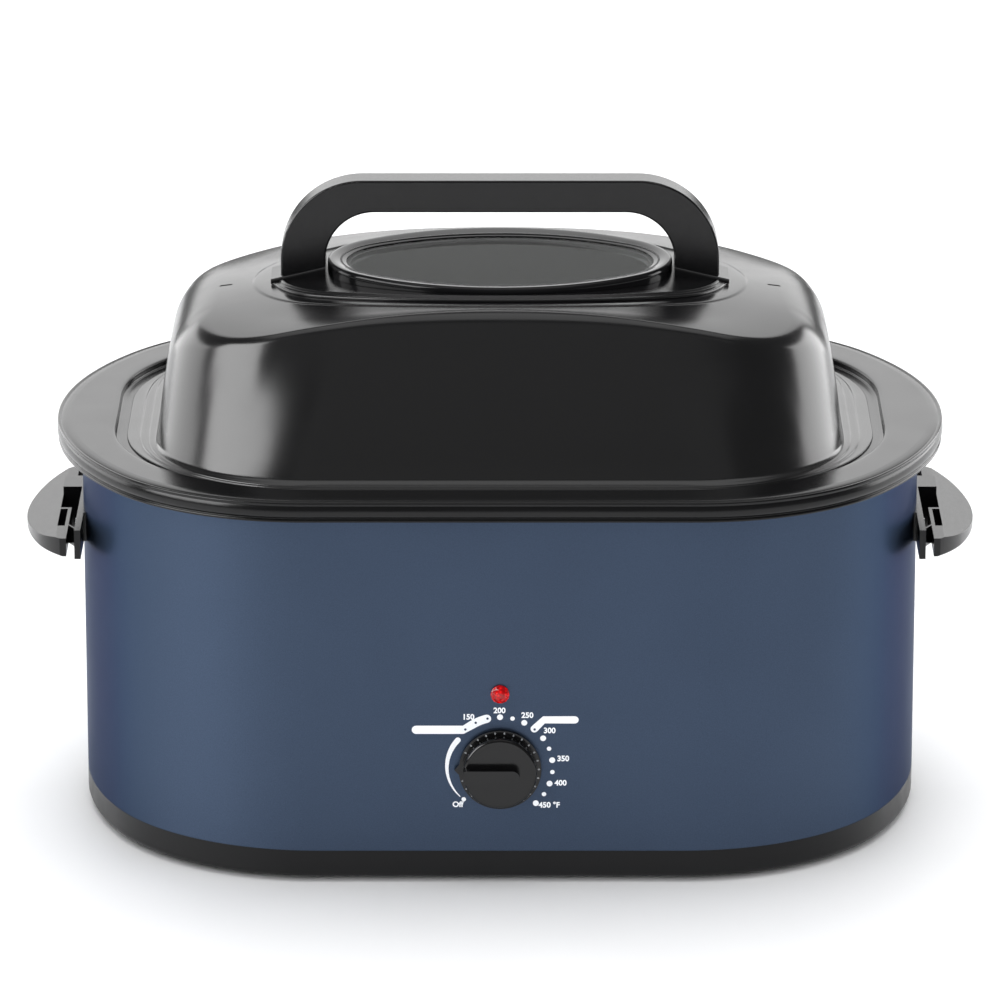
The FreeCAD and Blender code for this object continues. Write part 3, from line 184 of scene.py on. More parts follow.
def smoothed(mesh, angle):
    """Shades the mesh smoothly, but for edges sharper than the angle."""
    for face in mesh.polygons:
        face.use_smooth = True
    mesh.set_sharp_from_angle(angle=math.radians(angle))


def settle(mesh, angle):
    """Merges corners that meet, turns the faces outwards and smooths."""
    build = bmesh.new()
    build.from_mesh(mesh)
    bmesh.ops.remove_doubles(build, verts=build.verts, dist=DRAWN_WELD * MM)
    bmesh.ops.recalc_face_normals(build, faces=build.faces)
    build.to_mesh(mesh)
    build.free()
    smoothed(mesh, angle)


def placed(mesh, name, material, body, stands_for=()):
    """Sets a finished mesh in the scene as one piece on a body."""
    piece = bpy.data.objects.new(name, mesh)
    bpy.context.scene.collection.objects.link(piece)
    mesh.materials.clear()
    mesh.materials.append(material)
    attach(piece, body)
    if stands_for:
        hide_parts(*stands_for)
    return piece


def made(build, name, material, body, stands_for=(), angle=60):
    """Turns what was drawn into one settled piece on a body."""
    mesh = bpy.data.meshes.new(name)
    build.to_mesh(mesh)
    build.free()
    settle(mesh, angle)
    return placed(mesh, name, material, body, stands_for)


def baked(holder):
    """The plain mesh that the holder's modifiers, or its lettering, make. The holder is removed."""
    bpy.context.scene.collection.objects.link(holder)
    graph = bpy.context.evaluated_depsgraph_get()
    mesh = bpy.data.meshes.new_from_object(holder.evaluated_get(graph))
    bpy.data.objects.remove(holder)
    return mesh


def worked(mesh, kind, **settings):
    """The mesh after one modifier of this kind."""
    holder = bpy.data.objects.new("work", mesh)
    modifier = holder.modifiers.new(kind, kind)
    for key, value in settings.items():
        setattr(modifier, key, value)
    return baked(holder)


def refined(node, name, material, body, edge):
    """A machined solid's mesh, cleaned, with its sharp edges rounded by edge and shaded smoothly."""
    mesh = nodes[node].data.copy()
    build = bmesh.new()
    build.from_mesh(mesh)
    bmesh.ops.remove_doubles(build, verts=build.verts, dist=SOLID_WELD * MM)
    bmesh.ops.dissolve_degenerate(build, edges=build.edges, dist=SOLID_WELD * MM)
    bmesh.ops.dissolve_limit(
        build, angle_limit=math.radians(FLAT), verts=build.verts, edges=build.edges, delimit={"NORMAL"}
    )
    bmesh.ops.recalc_face_normals(build, faces=build.faces)
    build.to_mesh(mesh)
    build.free()
    if edge:
        mesh = worked(
            mesh, "BEVEL", width=edge * MM, segments=2, limit_method="ANGLE",
            angle_limit=math.radians(SHARP), use_clamp_overlap=True, miter_outer="MITER_ARC",
        )
    smoothed(mesh, SHARP + 8)
    mesh = worked(mesh, "WEIGHTED_NORMAL", keep_sharp=True, weight=80)
    return placed(mesh, name, material, body, (node,))


# ---------------------------------------------------------------- materials

# Textures by plain name: the node, and the output that a pattern is read from.
PATTERNS = {
    "noise": ("ShaderNodeTexNoise", "Fac"),
    "cells": ("ShaderNodeTexVoronoi", "Distance"),
    "patches": ("ShaderNodeTexVoronoi", "Color"),
}


def tint(code):
    """A colour written as on a screen, turned into the linear numbers that a shader takes."""
    channels = [int(code[i:i + 2], 16) / 255 for i in (1, 3, 5)]
    return (*[c / 12.92 if c <= 0.04045 else ((c + 0.055) / 1.055) ** 2.4 for c in channels], 1)


def add(tree, kind, sockets=None, **settings):
    """Adds a node. Each socket named takes a plain value, or a link from another node's output."""
    node = tree.nodes.new(kind)
    for key, value in settings.items():
        setattr(node, key, value)
    for key, value in (sockets or {}).items():
        if isinstance(value, bpy.types.NodeSocket):
            tree.links.new(value, node.inputs[key])
        else:
            node.inputs[key].default_value = value
    return node


def finish(name, colour, roughness, tones=None, wear=None, relief=(), sockets=None):
    """A node material on Object coordinates. A pattern is (name, millimetres, detail, stretch).

    tones are a pattern and the two colours it runs between, wear is a pattern and two roughnesses, and
    relief lists patterns, each with a height in millimetres and a strength.
    """
    material = bpy.data.materials.new(name)
    material.use_nodes = True
    tree = material.node_tree
    tree.nodes.clear()
    place = add(tree, "ShaderNodeTexCoord").outputs["Object"]

    def pattern(texture, size, detail=3.0, stretch=None):
        kind, output = PATTERNS[texture]
        vector = place
        if stretch:
            vector = add(tree, "ShaderNodeMapping", {"Vector": place, "Scale": stretch}).outputs[0]
        inputs = {"Vector": vector, "Scale": 1 / (size * MM)}
        if texture == "noise":
            inputs["Detail"] = detail
        return add(tree, kind, inputs).outputs[output]

    def between(grain, low, high, start=0.3, end=0.7):
        """The pattern's run from start to end, turned into a run from low to high."""
        return add(tree, "ShaderNodeMapRange", {
            "Value": pattern(*grain), "From Min": start, "From Max": end, "To Min": low, "To Max": high,
        }).outputs[0]

    values = {"Base Color": tint(colour), "Roughness": roughness, **(sockets or {})}
    if tones:
        grain, first, second, *run = tones
        values["Base Color"] = add(tree, "ShaderNodeMix", {
            "Factor": between(grain, 0.0, 1.0, *run), 6: tint(first), 7: tint(second),
        }, data_type="RGBA").outputs[2]
    if wear:
        values["Roughness"] = between(*wear)
    under = {}
    for grain, height, strength in relief:
        bump = add(tree, "ShaderNodeBump", {
            "Height": pattern(*grain), "Strength": strength, "Distance": height * MM, **under,
        })
        under = {"Normal": bump.outputs[0]}
    shader = add(tree, "ShaderNodeBsdfPrincipled", {**values, **under})
    add(tree, "ShaderNodeOutputMaterial", {"Surface": shader.outputs[0]})
    return material


def let_light_through(material):
    """Turns a clear material's shadow off, so that what lies behind it is lit."""
    tree = material.node_tree
    surface = tree.nodes["Material Output"].inputs["Surface"]
    choice = add(tree, "ShaderNodeMixShader", {
        0: add(tree, "ShaderNodeLightPath").outputs["Is Shadow Ray"],
        1: surface.links[0].from_socket,
        2: add(tree, "ShaderNodeBsdfTransparent").outputs[0],
    })
    tree.links.new(choice.outputs[0], surface)


# Satin slate-blue paint with fine metal flakes: the flakes make a soft sparkle, a faint orange peel
# breaks up the highlights, and the gloss drifts slightly over the wall. The tinted edge keeps the
# curved ends from paling.
blue = finish(
    "satin_slate_blue_metallic_paint", "#3f4c5f", 0.38,
    tones=(("noise", 0.5, 2.0), "#3b475a", "#445165"),
    wear=(("noise", 60.0), 0.36, 0.42),
    relief=((("noise", 1.6, 2.0), 0.012, 0.5), (("noise", 0.3, 1.0), 0.004, 0.35)),
    sockets={
        "Metallic": 0.85, "Coat Weight": 0.05, "Coat Roughness": 0.2,
        "Specular Tint": (0.2, 0.24, 0.32, 1),
    },
)


def porcelain(name, gloss):
    """Black porcelain enamel: soft gloss with the slow waves of fired glass and a few tiny specks."""
    return finish(
        name, "#0c0c0d", 0.16,
        tones=(("cells", 4.0), "#121213", "#0c0c0d", 0.02, 0.12),
        wear=(("noise", 35.0), 0.19, 0.24),
        relief=((("noise", 22.0, 1.0), 0.03, 0.25),),
        sockets={"IOR": 1.52, "Specular IOR Level": gloss},
    )


lid_enamel = porcelain("black_lid_enamel", 0.52)
pan_enamel = porcelain("black_pan_enamel", 0.3)

# Satin black enamel of the tray: rougher and less glossy than the pan's and the lid's.
tray_enamel = finish(
    "satin_black_enamel", "#111112", 0.34,
    tones=(("cells", 3.0), "#181819", "#111112", 0.02, 0.12),
    wear=(("noise", 25.0), 0.3, 0.4),
    relief=((("noise", 3.0), 0.01, 0.3),),
    sockets={"Specular IOR Level": 0.25},
)


def moulding(name, gloss):
    """Satin black phenolic: a dense, slightly greyish moulding with a fine even grain."""
    return finish(
        name, "#0e0e0f", 0.28,
        tones=(("noise", 12.0), "#0c0c0d", "#111112"),
        wear=(("noise", 3.0), 0.22, 0.25),
        relief=((("noise", 0.35, 2.0), 0.006, 0.25),),
        sockets={"Specular IOR Level": gloss},
    )


phenolic = moulding("satin_black_phenolic", 0.42)
grip_phenolic = moulding("satin_black_grip_phenolic", 0.29)

# Semi-gloss black plastic of the knob, with soft flow marks.
knob_plastic = finish(
    "semi_gloss_black_plastic", "#0b0b0c", 0.16,
    tones=(("noise", 5.0), "#0a0a0b", "#0f0f10"),
    wear=(("noise", 4.0), 0.14, 0.2),
    relief=((("noise", 6.0, 1.0), 0.01, 0.2),),
    sockets={"Specular IOR Level": 0.4},
)

# Glossy black heat-proof plastic: a polished moulding with very slight sink marks.
gloss_plastic = finish(
    "polished_black_plastic", "#101011", 0.09,
    wear=(("noise", 8.0), 0.07, 0.12),
    relief=((("noise", 14.0, 1.0), 0.02, 0.2),),
    sockets={"Specular IOR Level": 0.22},
)

# Clear tempered glass with a trace of wiping haze. Its index is far below that of real glass, so that
# the inside shows instead of the studio's reflection.
glass = finish(
    "tempered_glass", "#f4f8f6", 0.0,
    wear=(("noise", 18.0), 0.0, 0.02),
    relief=((("noise", 60.0, 0.0), 0.004, 0.1),),
    sockets={"Transmission Weight": 1.0, "IOR": 1.04},
)
let_light_through(glass)

# Zinc-plated steel: a cool grey metal with crystal patches and fine rolling marks.
zinc = finish(
    "zinc_plated_steel", "#c2c5c8", 0.34,
    tones=(("patches", 5.0), "#b2b6ba", "#cdd0d2", 0.2, 0.8),
    wear=(("noise", 2.5, 3.0, (1, 12, 12)), 0.28, 0.42),
    relief=((("noise", 0.8, 2.0, (1, 14, 14)), 0.008, 0.4),),
    sockets={"Metallic": 1.0},
)

# Heat-tinted steel of the element band: straw and blue tints in streaks.
heater = finish(
    "heat_tinted_steel", "#8f8778", 0.4,
    tones=(("noise", 25.0, 4.0), "#8b7a5e", "#7d828c"),
    wear=(("noise", 3.0), 0.34, 0.5),
    relief=((("noise", 0.6), 0.01, 0.4),),
    sockets={"Metallic": 1.0},
)

# White ceramic-fibre felt: matt, matted fibres with pillowy patches.
felt = finish(
    "ceramic_fibre_felt", "#e6e3d8", 0.95,
    tones=(("noise", 9.0, 5.0), "#dcd8cb", "#eeece4"),
    wear=(("noise", 5.0), 0.9, 1.0),
    relief=((("noise", 2.2, 6.0), 0.5, 0.6),),
    sockets={"Sheen Weight": 0.4},
)

# Chrome-plated wire, bright with slight plating ripple.
chrome = finish(
    "chrome_plated_wire", "#dfe1e3", 0.12,
    wear=(("noise", 6.0), 0.09, 0.18),
    relief=((("noise", 3.0, 1.0), 0.01, 0.3),),
    sockets={"Metallic": 1.0},
)

# Black silicone seal: soft, slightly dusty.
silicone = finish(
    "black_silicone", "#222223", 0.55,
    tones=(("noise", 6.0), "#1e1e1f", "#29292a"),
    wear=(("noise", 2.0), 0.5, 0.62),
    relief=((("noise", 0.8), 0.01, 0.4),),
)

# Moulded black rubber of the cord's strain relief.
gland_rubber = finish(
    "moulded_black_rubber", "#1f1f20", 0.6,
    tones=(("noise", 4.0), "#1b1b1c", "#272728"),
    wear=(("noise", 1.5), 0.54, 0.68),
    relief=((("noise", 0.5), 0.02, 0.5),),
)

# Dark grey rubber of the feet, scuffed where it meets the table.
foot_rubber = finish(
    "dark_grey_rubber", "#2b2b2d", 0.75,
    tones=(("noise", 3.0), "#262628", "#353538"),
    wear=(("noise", 1.2), 0.68, 0.85),
    relief=((("noise", 0.6, 4.0), 0.05, 0.5),),
)

# Turned brass with fine tool rings.
brass = finish(
    "turned_brass", "#c8a452", 0.3,
    tones=(("noise", 2.0), "#bd9846", "#d0af60"),
    wear=(("noise", 0.8, 2.0, (1, 1, 9)), 0.24, 0.38),
    relief=((("noise", 0.4, 1.0, (1, 9, 1)), 0.006, 0.5),),
    sockets={"Metallic": 1.0},
)

# Cream steatite ceramic: matt, chalky, with small pits.
steatite = finish(
    "cream_steatite", "#e3dac3", 0.6,
    tones=(("noise", 7.0), "#dbd0b6", "#e9e2cf"),
    wear=(("noise", 1.5), 0.55, 0.7),
    relief=((("cells", 1.4), 0.03, 0.4),),
)

# Bare aluminium with drawn lines.
aluminium = finish(
    "bare_aluminium", "#c9cbcd", 0.36,
    tones=(("noise", 10.0), "#c2c4c7", "#d1d3d4"),
    wear=(("noise", 1.2, 2.0, (1, 1, 10)), 0.3, 0.45),
    relief=((("noise", 0.5, 1.0, (1, 1, 12)), 0.006, 0.5),),
    sockets={"Metallic": 1.0},
)

# Clear red lens: deep red, with painted light and shade on its facets: each small cell is painted bright
# red in its middle and dark red at its rim. It glows faintly red, as the pilot lamp is lit.
lens_red_painted_facet_light = finish(
    "clear_red_lens_painted_facet_light", "#c40308", 0.08,
    # painted light and shade: bright red in the cells' middles, dark red at their rims
    tones=(("cells", 2.2), "#e80a0e", "#7a0206", 0.1, 0.6),
    wear=(("noise", 2.0), 0.06, 0.12),
    relief=((("cells", 2.2), 0.12, 0.4),),
    sockets={"IOR": 1.49, "Emission Strength": 0.12, "Emission Color": tint("#ff0a08")},
)

# Neon lamp glass, faintly amber.
lamp_glass = finish(
    "neon_lamp_glass", "#f3c69a", 0.05,
    wear=(("noise", 3.0), 0.03, 0.09),
    relief=((("noise", 2.0, 1.0), 0.02, 0.3),),
    sockets={"Transmission Weight": 0.8, "IOR": 1.5},
)

# White silicone sleeve of the leads.
sleeve = finish(
    "white_silicone_sleeve", "#e2e0d8", 0.55,
    tones=(("noise", 5.0), "#d8d5cb", "#e9e7e0"),
    wear=(("noise", 1.0), 0.5, 0.62),
    relief=((("cells", 0.6), 0.02, 0.4),),
)

# Screen-printed ink: cool white, a touch uneven where the screen's mesh shows.
ink = finish(
    "white_screen_ink", "#f6f8fb", 0.5,
    tones=(("noise", 0.8, 2.0), "#f0f3f8", "#fcfdff"),
    wear=(("noise", 1.0), 0.45, 0.58),
    relief=((("cells", 0.25), 0.004, 0.4),),
)

# Raised grey marks moulded on the knob's skirt, rubbed brighter on their tops.
rubbed = finish(
    "rubbed_moulding_marks", "#8d8f92", 0.4,
    tones=(("noise", 1.2), "#77797c", "#a5a7aa"),
    wear=(("noise", 0.6), 0.34, 0.5),
    relief=((("noise", 0.3), 0.01, 0.4),),
)

# ---------------------------------------------------------------- outer body

SHEET = 0.8
HEM = 239
band_outside = [ring(body_line(), height) for height in (20.7, 21.6, 60, 130, 200, 236, 238.2)]
wall = bmesh.new()
shell(wall, eased([
    ring(body_line(-SHEET), 20.3), ring(body_line(-0.05), 20.3), *band_outside,
    ring(body_line(-0.6), HEM - 0.05), ring(body_line(-1.6), HEM), ring(body_line(-7), HEM),
    ring(body_line(-7), HEM - SHEET), ring(body_line(-1.8), HEM - SHEET),
    ring(body_line(-SHEET), 237.2), ring(body_line(-SHEET), 120),
], 1), closed=True)
made(wall, "outer_body_band", blue, "oven_body", ("outer_body",), 40)

# ---------------------------------------------------------------- cooking pan

STEEL = 1.2
LEDGE_TOP = 241.0
TUB_FLOOR = 75
TUB_CORNER = 20

rim_roll = eased([
    ring(rim_line(-1.6), 233.2), ring(rim_line(-1.1), 233.0), ring(rim_line(-0.6), 233.4),
    ring(rim_line(-0.7), 234.6), ring(rim_line(-1.6), 235.0), ring(rim_line(-1.3), 235.8),
    ring(rim_line(-0.4), 237.0), ring(rim_line(), 238.6), ring(rim_line(-0.1), 240.6),
    ring(rim_line(-0.5), 242.3), ring(rim_line(-0.95), 243.2), ring(rim_line(-0.55), 243.9),
    ring(rim_line(-0.5), 244.8), ring(rim_line(-1.2), 245.45), ring(rim_line(-2.2), 245.4),
    ring(rim_line(-2.8), 244.9), ring(rim_line(-3.4), 245.3), ring(rim_line(-5.2), 245.8),
    ring(rim_line(-8.0), 246.0),
])
rim_top = eased([
    ring(rim_line(-8.0), 246.0), ring(mix(rim_line(-8), opening_line(2.5), 0.5), 246.0),
    ring(opening_line(2.5), 246.0), ring(opening_line(0.5), 245.7), ring(opening_line(), 244.6),
    ring(opening_line(), 242.2), ring(opening_line(-0.9), 241.2), ring(opening_line(-2.6), LEDGE_TOP),
])
ledge = eased([
    ring(opening_line(-2.6), LEDGE_TOP), ring(mix(opening_line(-2.6), tub_line(2.2), 0.5), LEDGE_TOP),
    ring(tub_line(2.2), LEDGE_TOP), ring(tub_line(0.5), 240.6), ring(tub_line(), 239.2),
    ring(tub_line(), 200),
])


def tub_wall(grow, floor, radius):
    """Rings down the tub's wall, round the floor's corner and in along the floor."""
    rings = [ring(tub_line(grow), height) for height in np.linspace(190, floor + radius, 4)]
    for angle in np.linspace(0, math.pi / 2, 8)[1:]:
        inset = radius * (1 - math.cos(angle))
        rings.append(ring(tub_line(grow - inset), floor + radius * (1 - math.sin(angle))))
    inner = tub_line(grow - radius)
    return rings + [ring(inner * share, floor) for share in (0.85, 0.6, 0.3, 0.08)]


pan_inside = rim_roll + rim_top[1:] + ledge[1:] + tub_wall(0, TUB_FLOOR, TUB_CORNER)
pan_under = eased([
    ring(rim_line(-1.6), 233.2), ring(rim_line(-2.4), 234.2), ring(rim_line(-2.2), 243.4),
    ring(rim_line(-3.4), 244.6), ring(rim_line(-9), 244.8),
    ring(mix(rim_line(-8), opening_line(2.5), 0.5), 244.8), ring(opening_line(2.2), 244.8),
    ring(opening_line(1.2), 243.8), ring(opening_line(1.2), 240.6), ring(opening_line(0.2), 239.85),
    ring(mix(opening_line(-2.6), tub_line(2.2), 0.5), 239.8), ring(tub_line(2.4), 239.8),
    ring(tub_line(1.2), 239.0), ring(tub_line(1.2), 210),
])
pan = bmesh.new()
shell(pan, pan_inside, capped=True)
shell(pan, pan_under + tub_wall(STEEL, TUB_FLOOR - STEEL, TUB_CORNER + STEEL), capped=True)
made(pan, "enamelled_pan", pan_enamel, "pan", ("cooking_pan",), 50)

# ---------------------------------------------------------------- lid shell

WALL_FOOT = LEDGE_TOP
WALL_TOP = 345.0
BELLY = 4.3
ROOF_PEAK = 338
ARCH = 2200  # twice the radius of the roof's arch along the oven
FLANGE_TOP = 247.0
SIDE_EDGE = 12
END_EDGE = 38
dome_foot = rounded(209, 150, 90)
dome_crown = rounded(185.5, 95.5, 63)

# 0 along the sides of the dome, rising to 1 round its ends.
endness = np.clip((112 - np.abs(dome_foot * np.sin(bearing))) / 62, 0, 1) ** 1.3


def wall_reach(height):
    """How far the dome's leaning wall is from the centre at a height; the ends belly out a little."""
    share = (height - WALL_FOOT) / (WALL_TOP - WALL_FOOT)
    belly = BELLY * endness * np.sin(math.pi / 2 * np.clip((height - WALL_FOOT) / 50, 0, 1))
    return mix(dome_foot, dome_crown, share) + belly


def roof(distance, lift=0):
    """Height of the roof: an arch along the oven, crowned across it and more so towards its ends."""
    x = distance * np.cos(bearing)
    y = distance * np.sin(bearing)
    crown = 0.00017 + 0.00035 * (np.abs(x) / 120) ** 2.6
    return ROOF_PEAK + lift - x**2 / ARCH - crown * y**2


# The wall and the roof meet in a rounded edge: broad at the ends, tighter along the sides.
lean = (wall_reach(330.0) - wall_reach(310.0)) / 20
corner_height = np.full(AROUND, 325.0)
for _ in range(12):
    corner_height = roof(wall_reach(corner_height))
corner_reach = wall_reach(corner_height)
slope = roof(corner_reach + 0.5) - roof(corner_reach - 0.5)
down = np.column_stack([-lean, -np.ones(AROUND)])
down /= np.linalg.norm(down, axis=1)[:, None]
inward = np.column_stack([-np.ones(AROUND), -slope])
inward /= np.linalg.norm(inward, axis=1)[:, None]
opening_angle = np.arccos(np.sum(down * inward, axis=1))
edge_radius = mix(SIDE_EDGE, END_EDGE, endness)
tangent = edge_radius / np.tan(opening_angle / 2)
corner = np.column_stack([corner_reach, corner_height])
halfway = down + inward
halfway /= np.linalg.norm(halfway, axis=1)[:, None]
hub = corner + halfway * (edge_radius / np.sin(opening_angle / 2))[:, None]
low_end = corner + down * tangent[:, None]
high_end = corner + inward * tangent[:, None]
first_angle = np.arctan2(low_end[:, 1] - hub[:, 1], low_end[:, 0] - hub[:, 0])
last_angle = np.arctan2(high_end[:, 1] - hub[:, 1], high_end[:, 0] - hub[:, 0])

wall_rings = []
for share in np.linspace(0, 1, 9):
    height = mix(np.full(AROUND, FLANGE_TOP), low_end[:, 1], share)
    wall_rings.append(ring(wall_reach(height), height))
edge_rings = []
for share in np.linspace(0, 1, 12)[1:]:
    angle = mix(first_angle, last_angle, share)
    distance = hub[:, 0] + edge_radius * np.cos(angle)
    edge_rings.append(ring(distance, hub[:, 1] + edge_radius * np.sin(angle)))
roof_edge = high_end[:, 0]
plateau = np.minimum(plateau_line(), roof_edge - 2.5)
roof_rings = []
for share in (0.5, 1.0):
    distance = mix(roof_edge, plateau + 1.5, share)
    roof_rings.append(ring(distance, roof(distance)))
for step, lift in ((0.7, 0.05), (0.0, 0.35), (-0.7, 0.62), (-1.6, 0.7), (-6.0, 0.7)):
    roof_rings.append(ring(plateau + step, roof(plateau + step, lift)))
window_cut = glass_line(-3)
for share in (0.35, 0.7, 1.0):
    distance = mix(plateau - 6, window_cut, share)
    roof_rings.append(ring(distance, roof(distance, 0.0 if share == 1.0 else 0.4)))

beads = (
    (0.40, 242.2), (0.45, 242.9), (0.52, 243.1), (0.70, 243.1), (0.75, 243.7), (0.84, 243.9), (0.97, 244.3),
)
flange_rings = eased([
    ring(flange_line(), 241.4), ring(flange_line(), 241.9), ring(flange_line(-0.5), 242.2),
    ring(flange_line(-1.2), 242.2),
    *[ring(mix(flange_line(), dome_foot, share), height) for share, height in beads],
    ring(wall_reach(245.6) + 0.1, 245.6), ring(wall_reach(FLANGE_TOP), FLANGE_TOP),
])

dome = bmesh.new()
shell(dome, flange_rings + wall_rings[1:] + edge_rings + roof_rings)
dome_mesh = bpy.data.meshes.new("dome")
dome.to_mesh(dome_mesh)
dome.free()
settle(dome_mesh, 50)
if sum(face.normal.z * face.area for face in dome_mesh.polygons) < 0:
    dome_mesh.flip_normals()
dome_mesh = worked(dome_mesh, "SOLIDIFY", thickness=STEEL * MM, offset=-1.0, use_even_offset=True)

skirt = bmesh.new()
skirt.from_mesh(dome_mesh)
shell(skirt, [
    ring(tub_line(-2.5), LEDGE_TOP), ring(tub_line(-2.5), 234.4), ring(tub_line(-2.8), 234.0),
    ring(tub_line(-3.4), 234.0), ring(tub_line(-3.7), 234.4), ring(tub_line(-3.7), LEDGE_TOP),
], closed=True)


def slot_cutter(build, centre, half, long_axis, flat_axis):
    """A straight-sided slot with round ends, long_axis by flat_axis, cut right through the other way."""
    through = long_axis.cross(flat_axis).normalized()
    half_length, half_width, half_depth = half
    outline = []
    for end, start in ((1, -math.pi / 2), (-1, math.pi / 2)):
        for angle in np.linspace(start, start + math.pi, 9):
            along = end * (half_length - half_width) + half_width * math.cos(angle)
            outline.append(centre + long_axis * along + flat_axis * half_width * math.sin(angle))
    depths = (-half_depth, half_depth)
    rows = [[build.verts.new((point + through * depth) * MM) for point in outline] for depth in depths]
    count = len(outline)
    for i in range(count):
        j = (i + 1) % count
        build.faces.new((rows[0][i], rows[0][j], rows[1][j], rows[1][i]))
    build.faces.new(rows[0][::-1])
    build.faces.new(rows[1])


ALONG = Vector((1, 0, 0))
ACROSS = Vector((0, 1, 0))
UP = Vector((0, 0, 1))
slots = bmesh.new()
for side in (-1, 1):
    slot_cutter(slots, Vector((side * 168, 0, 326)), (4.1, 1.2, 8), ALONG, ACROSS)
slot_cutter(slots, Vector((203, 0, 298)), (6.5, 1.2, 10), UP, ACROSS)
bmesh.ops.recalc_face_normals(slots, faces=slots.faces)
slot_mesh = bpy.data.meshes.new("slots")
slots.to_mesh(slot_mesh)
slots.free()
cutter = bpy.data.objects.new("slots", slot_mesh)
bpy.context.scene.collection.objects.link(cutter)
dome_mesh.clear_geometry()
skirt.to_mesh(dome_mesh)
skirt.free()
dome_mesh = worked(dome_mesh, "BOOLEAN", operation="DIFFERENCE", solver="EXACT", object=cutter)
bpy.data.objects.remove(cutter)
settle(dome_mesh, 42)
placed(dome_mesh, "enamelled_lid", lid_enamel, "lid", ("lid_shell",))

# ---------------------------------------------------------------- plate and bezel

def on_roof(distance, lift):
    """A ring that follows the roof, lifted off it."""
    return ring(distance, roof(distance, lift))


plate = bmesh.new()
shell(plate, eased([
    on_roof(plate_line(-0.6), 0.5), on_roof(plate_line(), 0.6), on_roof(plate_line(), 1.9),
    on_roof(plate_line(-0.5), 2.4), on_roof(plate_line(-2.6), 2.4), on_roof(plate_line(-3.4), 2.7),
    on_roof(plate_line(-4.2), 3.5), on_roof(plate_line(-5.4), 3.5), on_roof(plate_line(-6.2), 2.7),
    on_roof(plate_line(-7.2), 2.4), on_roof(mix(plate_line(-7.2), bezel_line(0.5), 0.5), 2.4),
    on_roof(bezel_line(0.5), 2.4), on_roof(bezel_line(-5), 2.4), on_roof(bezel_line(-5), 0.5),
    on_roof(bezel_line(0.5), 0.4),
]), closed=True)
made(plate, "window_plate", phenolic, "lid", ("handle_plate",), 50)

bezel = bmesh.new()
shell(bezel, eased([
    on_roof(bezel_line(-5), 2.2), on_roof(bezel_line(-0.2), 2.2), on_roof(bezel_line(), 2.6),
    ring(bezel_line(), 340.6), ring(bezel_line(-0.2), 342.0), ring(bezel_line(-1.2), 343.0),
    ring(bezel_line(-2.8), 343.3), ring(bezel_line(-5), 343.0),
    ring(mix(bezel_line(-5), glass_line(1), 0.6), 342.0), ring(glass_line(0.8), 341.3),
    ring(glass_line(0.1), 341.1), ring(glass_line(), 340.8),
    ring(glass_line(0.3), 340.6), ring(glass_line(2.9), 340.6),
]), closed=True)
made(bezel, "polished_bezel", gloss_plastic, "lid", ("window_bezel",), 50)

# ---------------------------------------------------------------- moulded and machined pieces

PANE_DROP = 1.4  # down to the foot of the bezel's slope

refined("base_tray", "pressed_tray", tray_enamel, "oven_body", 0.5)
refined("lid_handle", "top_handle", phenolic, "lid", 0.5)
refined("right_handle", "right_grip", grip_phenolic, "oven_body", 0.3)
refined("left_handle", "left_grip", grip_phenolic, "oven_body", 0.3)
refined("knob", "thermostat_knob", knob_plastic, "dial_knob", 0.8)
refined("feet", "rubber_feet", foot_rubber, "oven_body", 0.5)
refined("cord_gland", "strain_relief", gland_rubber, "oven_body", 0.4)
refined("roasting_rack", "wire_rack", chrome, "rack", 0)
refined("rack_grips", "wire_grips", chrome, "rack", 0)
pane = refined("window_glass", "window_pane", glass, "lid", 0.4)
pane.data.transform(Matrix.Translation((0, 0, -PANE_DROP * MM)))
refined("bottom_cover", "vented_cover", zinc, "oven_body", 0.2)

# Pieces that keep the mesh of their solid and only take a finish.
KEPT = {
    zinc: (
        "cover_screws", "foot_screws", "heating_well", "well_screws", "window_screws", "lid_handle_screws",
        "right_handle_screws", "left_handle_screws", "right_backing_plate", "left_backing_plate",
        "thermostat_bracket", "lamp_clip",
    ),
    heater: ("heater_band",),
    felt: ("insulation_blanket",),
    silicone: ("window_gasket",),
    brass: ("knob_shaft",),
    steatite: ("thermostat", "terminal_block"),
    aluminium: ("sensor_arm", "thermal_fuse"),
    lamp_glass: ("indicator_lamp",),
    phenolic: ("gland_nut",),
    sleeve: ("thermostat_lead", "fuse_lead", "heater_lead"),
}
for material, names in KEPT.items():
    for name in names:
        mesh = nodes[name].data
        if not mesh.materials:
            mesh.materials.append(None)
        for i in range(len(mesh.materials)):
            mesh.materials[i] = material

# ---------------------------------------------------------------- pilot lamp lens

FACETS = 14
LENS_HEIGHT = 120.4
lens = bmesh.new()
lens_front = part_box("indicator_lens")[0].y / MM
lens_profile = [(4.3, 5.4), (5.6, 4.2), (5.6, 3.1), (4.9, 2.2), (3.7, 1.1), (2.0, 0.3)]
rows = []
for index, (radius, depth) in enumerate(lens_profile):
    angles = [math.tau * (i + 0.5 * (index % 2)) / FACETS for i in range(FACETS)]
    rows.append([lens.verts.new(Vector((
        radius * math.cos(angle), lens_front + depth, LENS_HEIGHT + radius * math.sin(angle)
    )) * MM) for angle in angles])
for index, (near, far) in enumerate(zip(rows, rows[1:])):
    for i in range(FACETS):
        j = (i + 1) % FACETS
        if index % 2:
            lens.faces.new((near[i], near[j], far[i]))
            lens.faces.new((near[j], far[j], far[i]))
        else:
            lens.faces.new((near[i], near[j], far[j]))
            lens.faces.new((near[i], far[j], far[i]))
lens.faces.new(rows[0])
lens.faces.new(rows[-1][::-1])
made(lens, "faceted_lens", lens_red_painted_facet_light, "oven_body", ("indicator_lens",), 12)

# ---------------------------------------------------------------- dial print

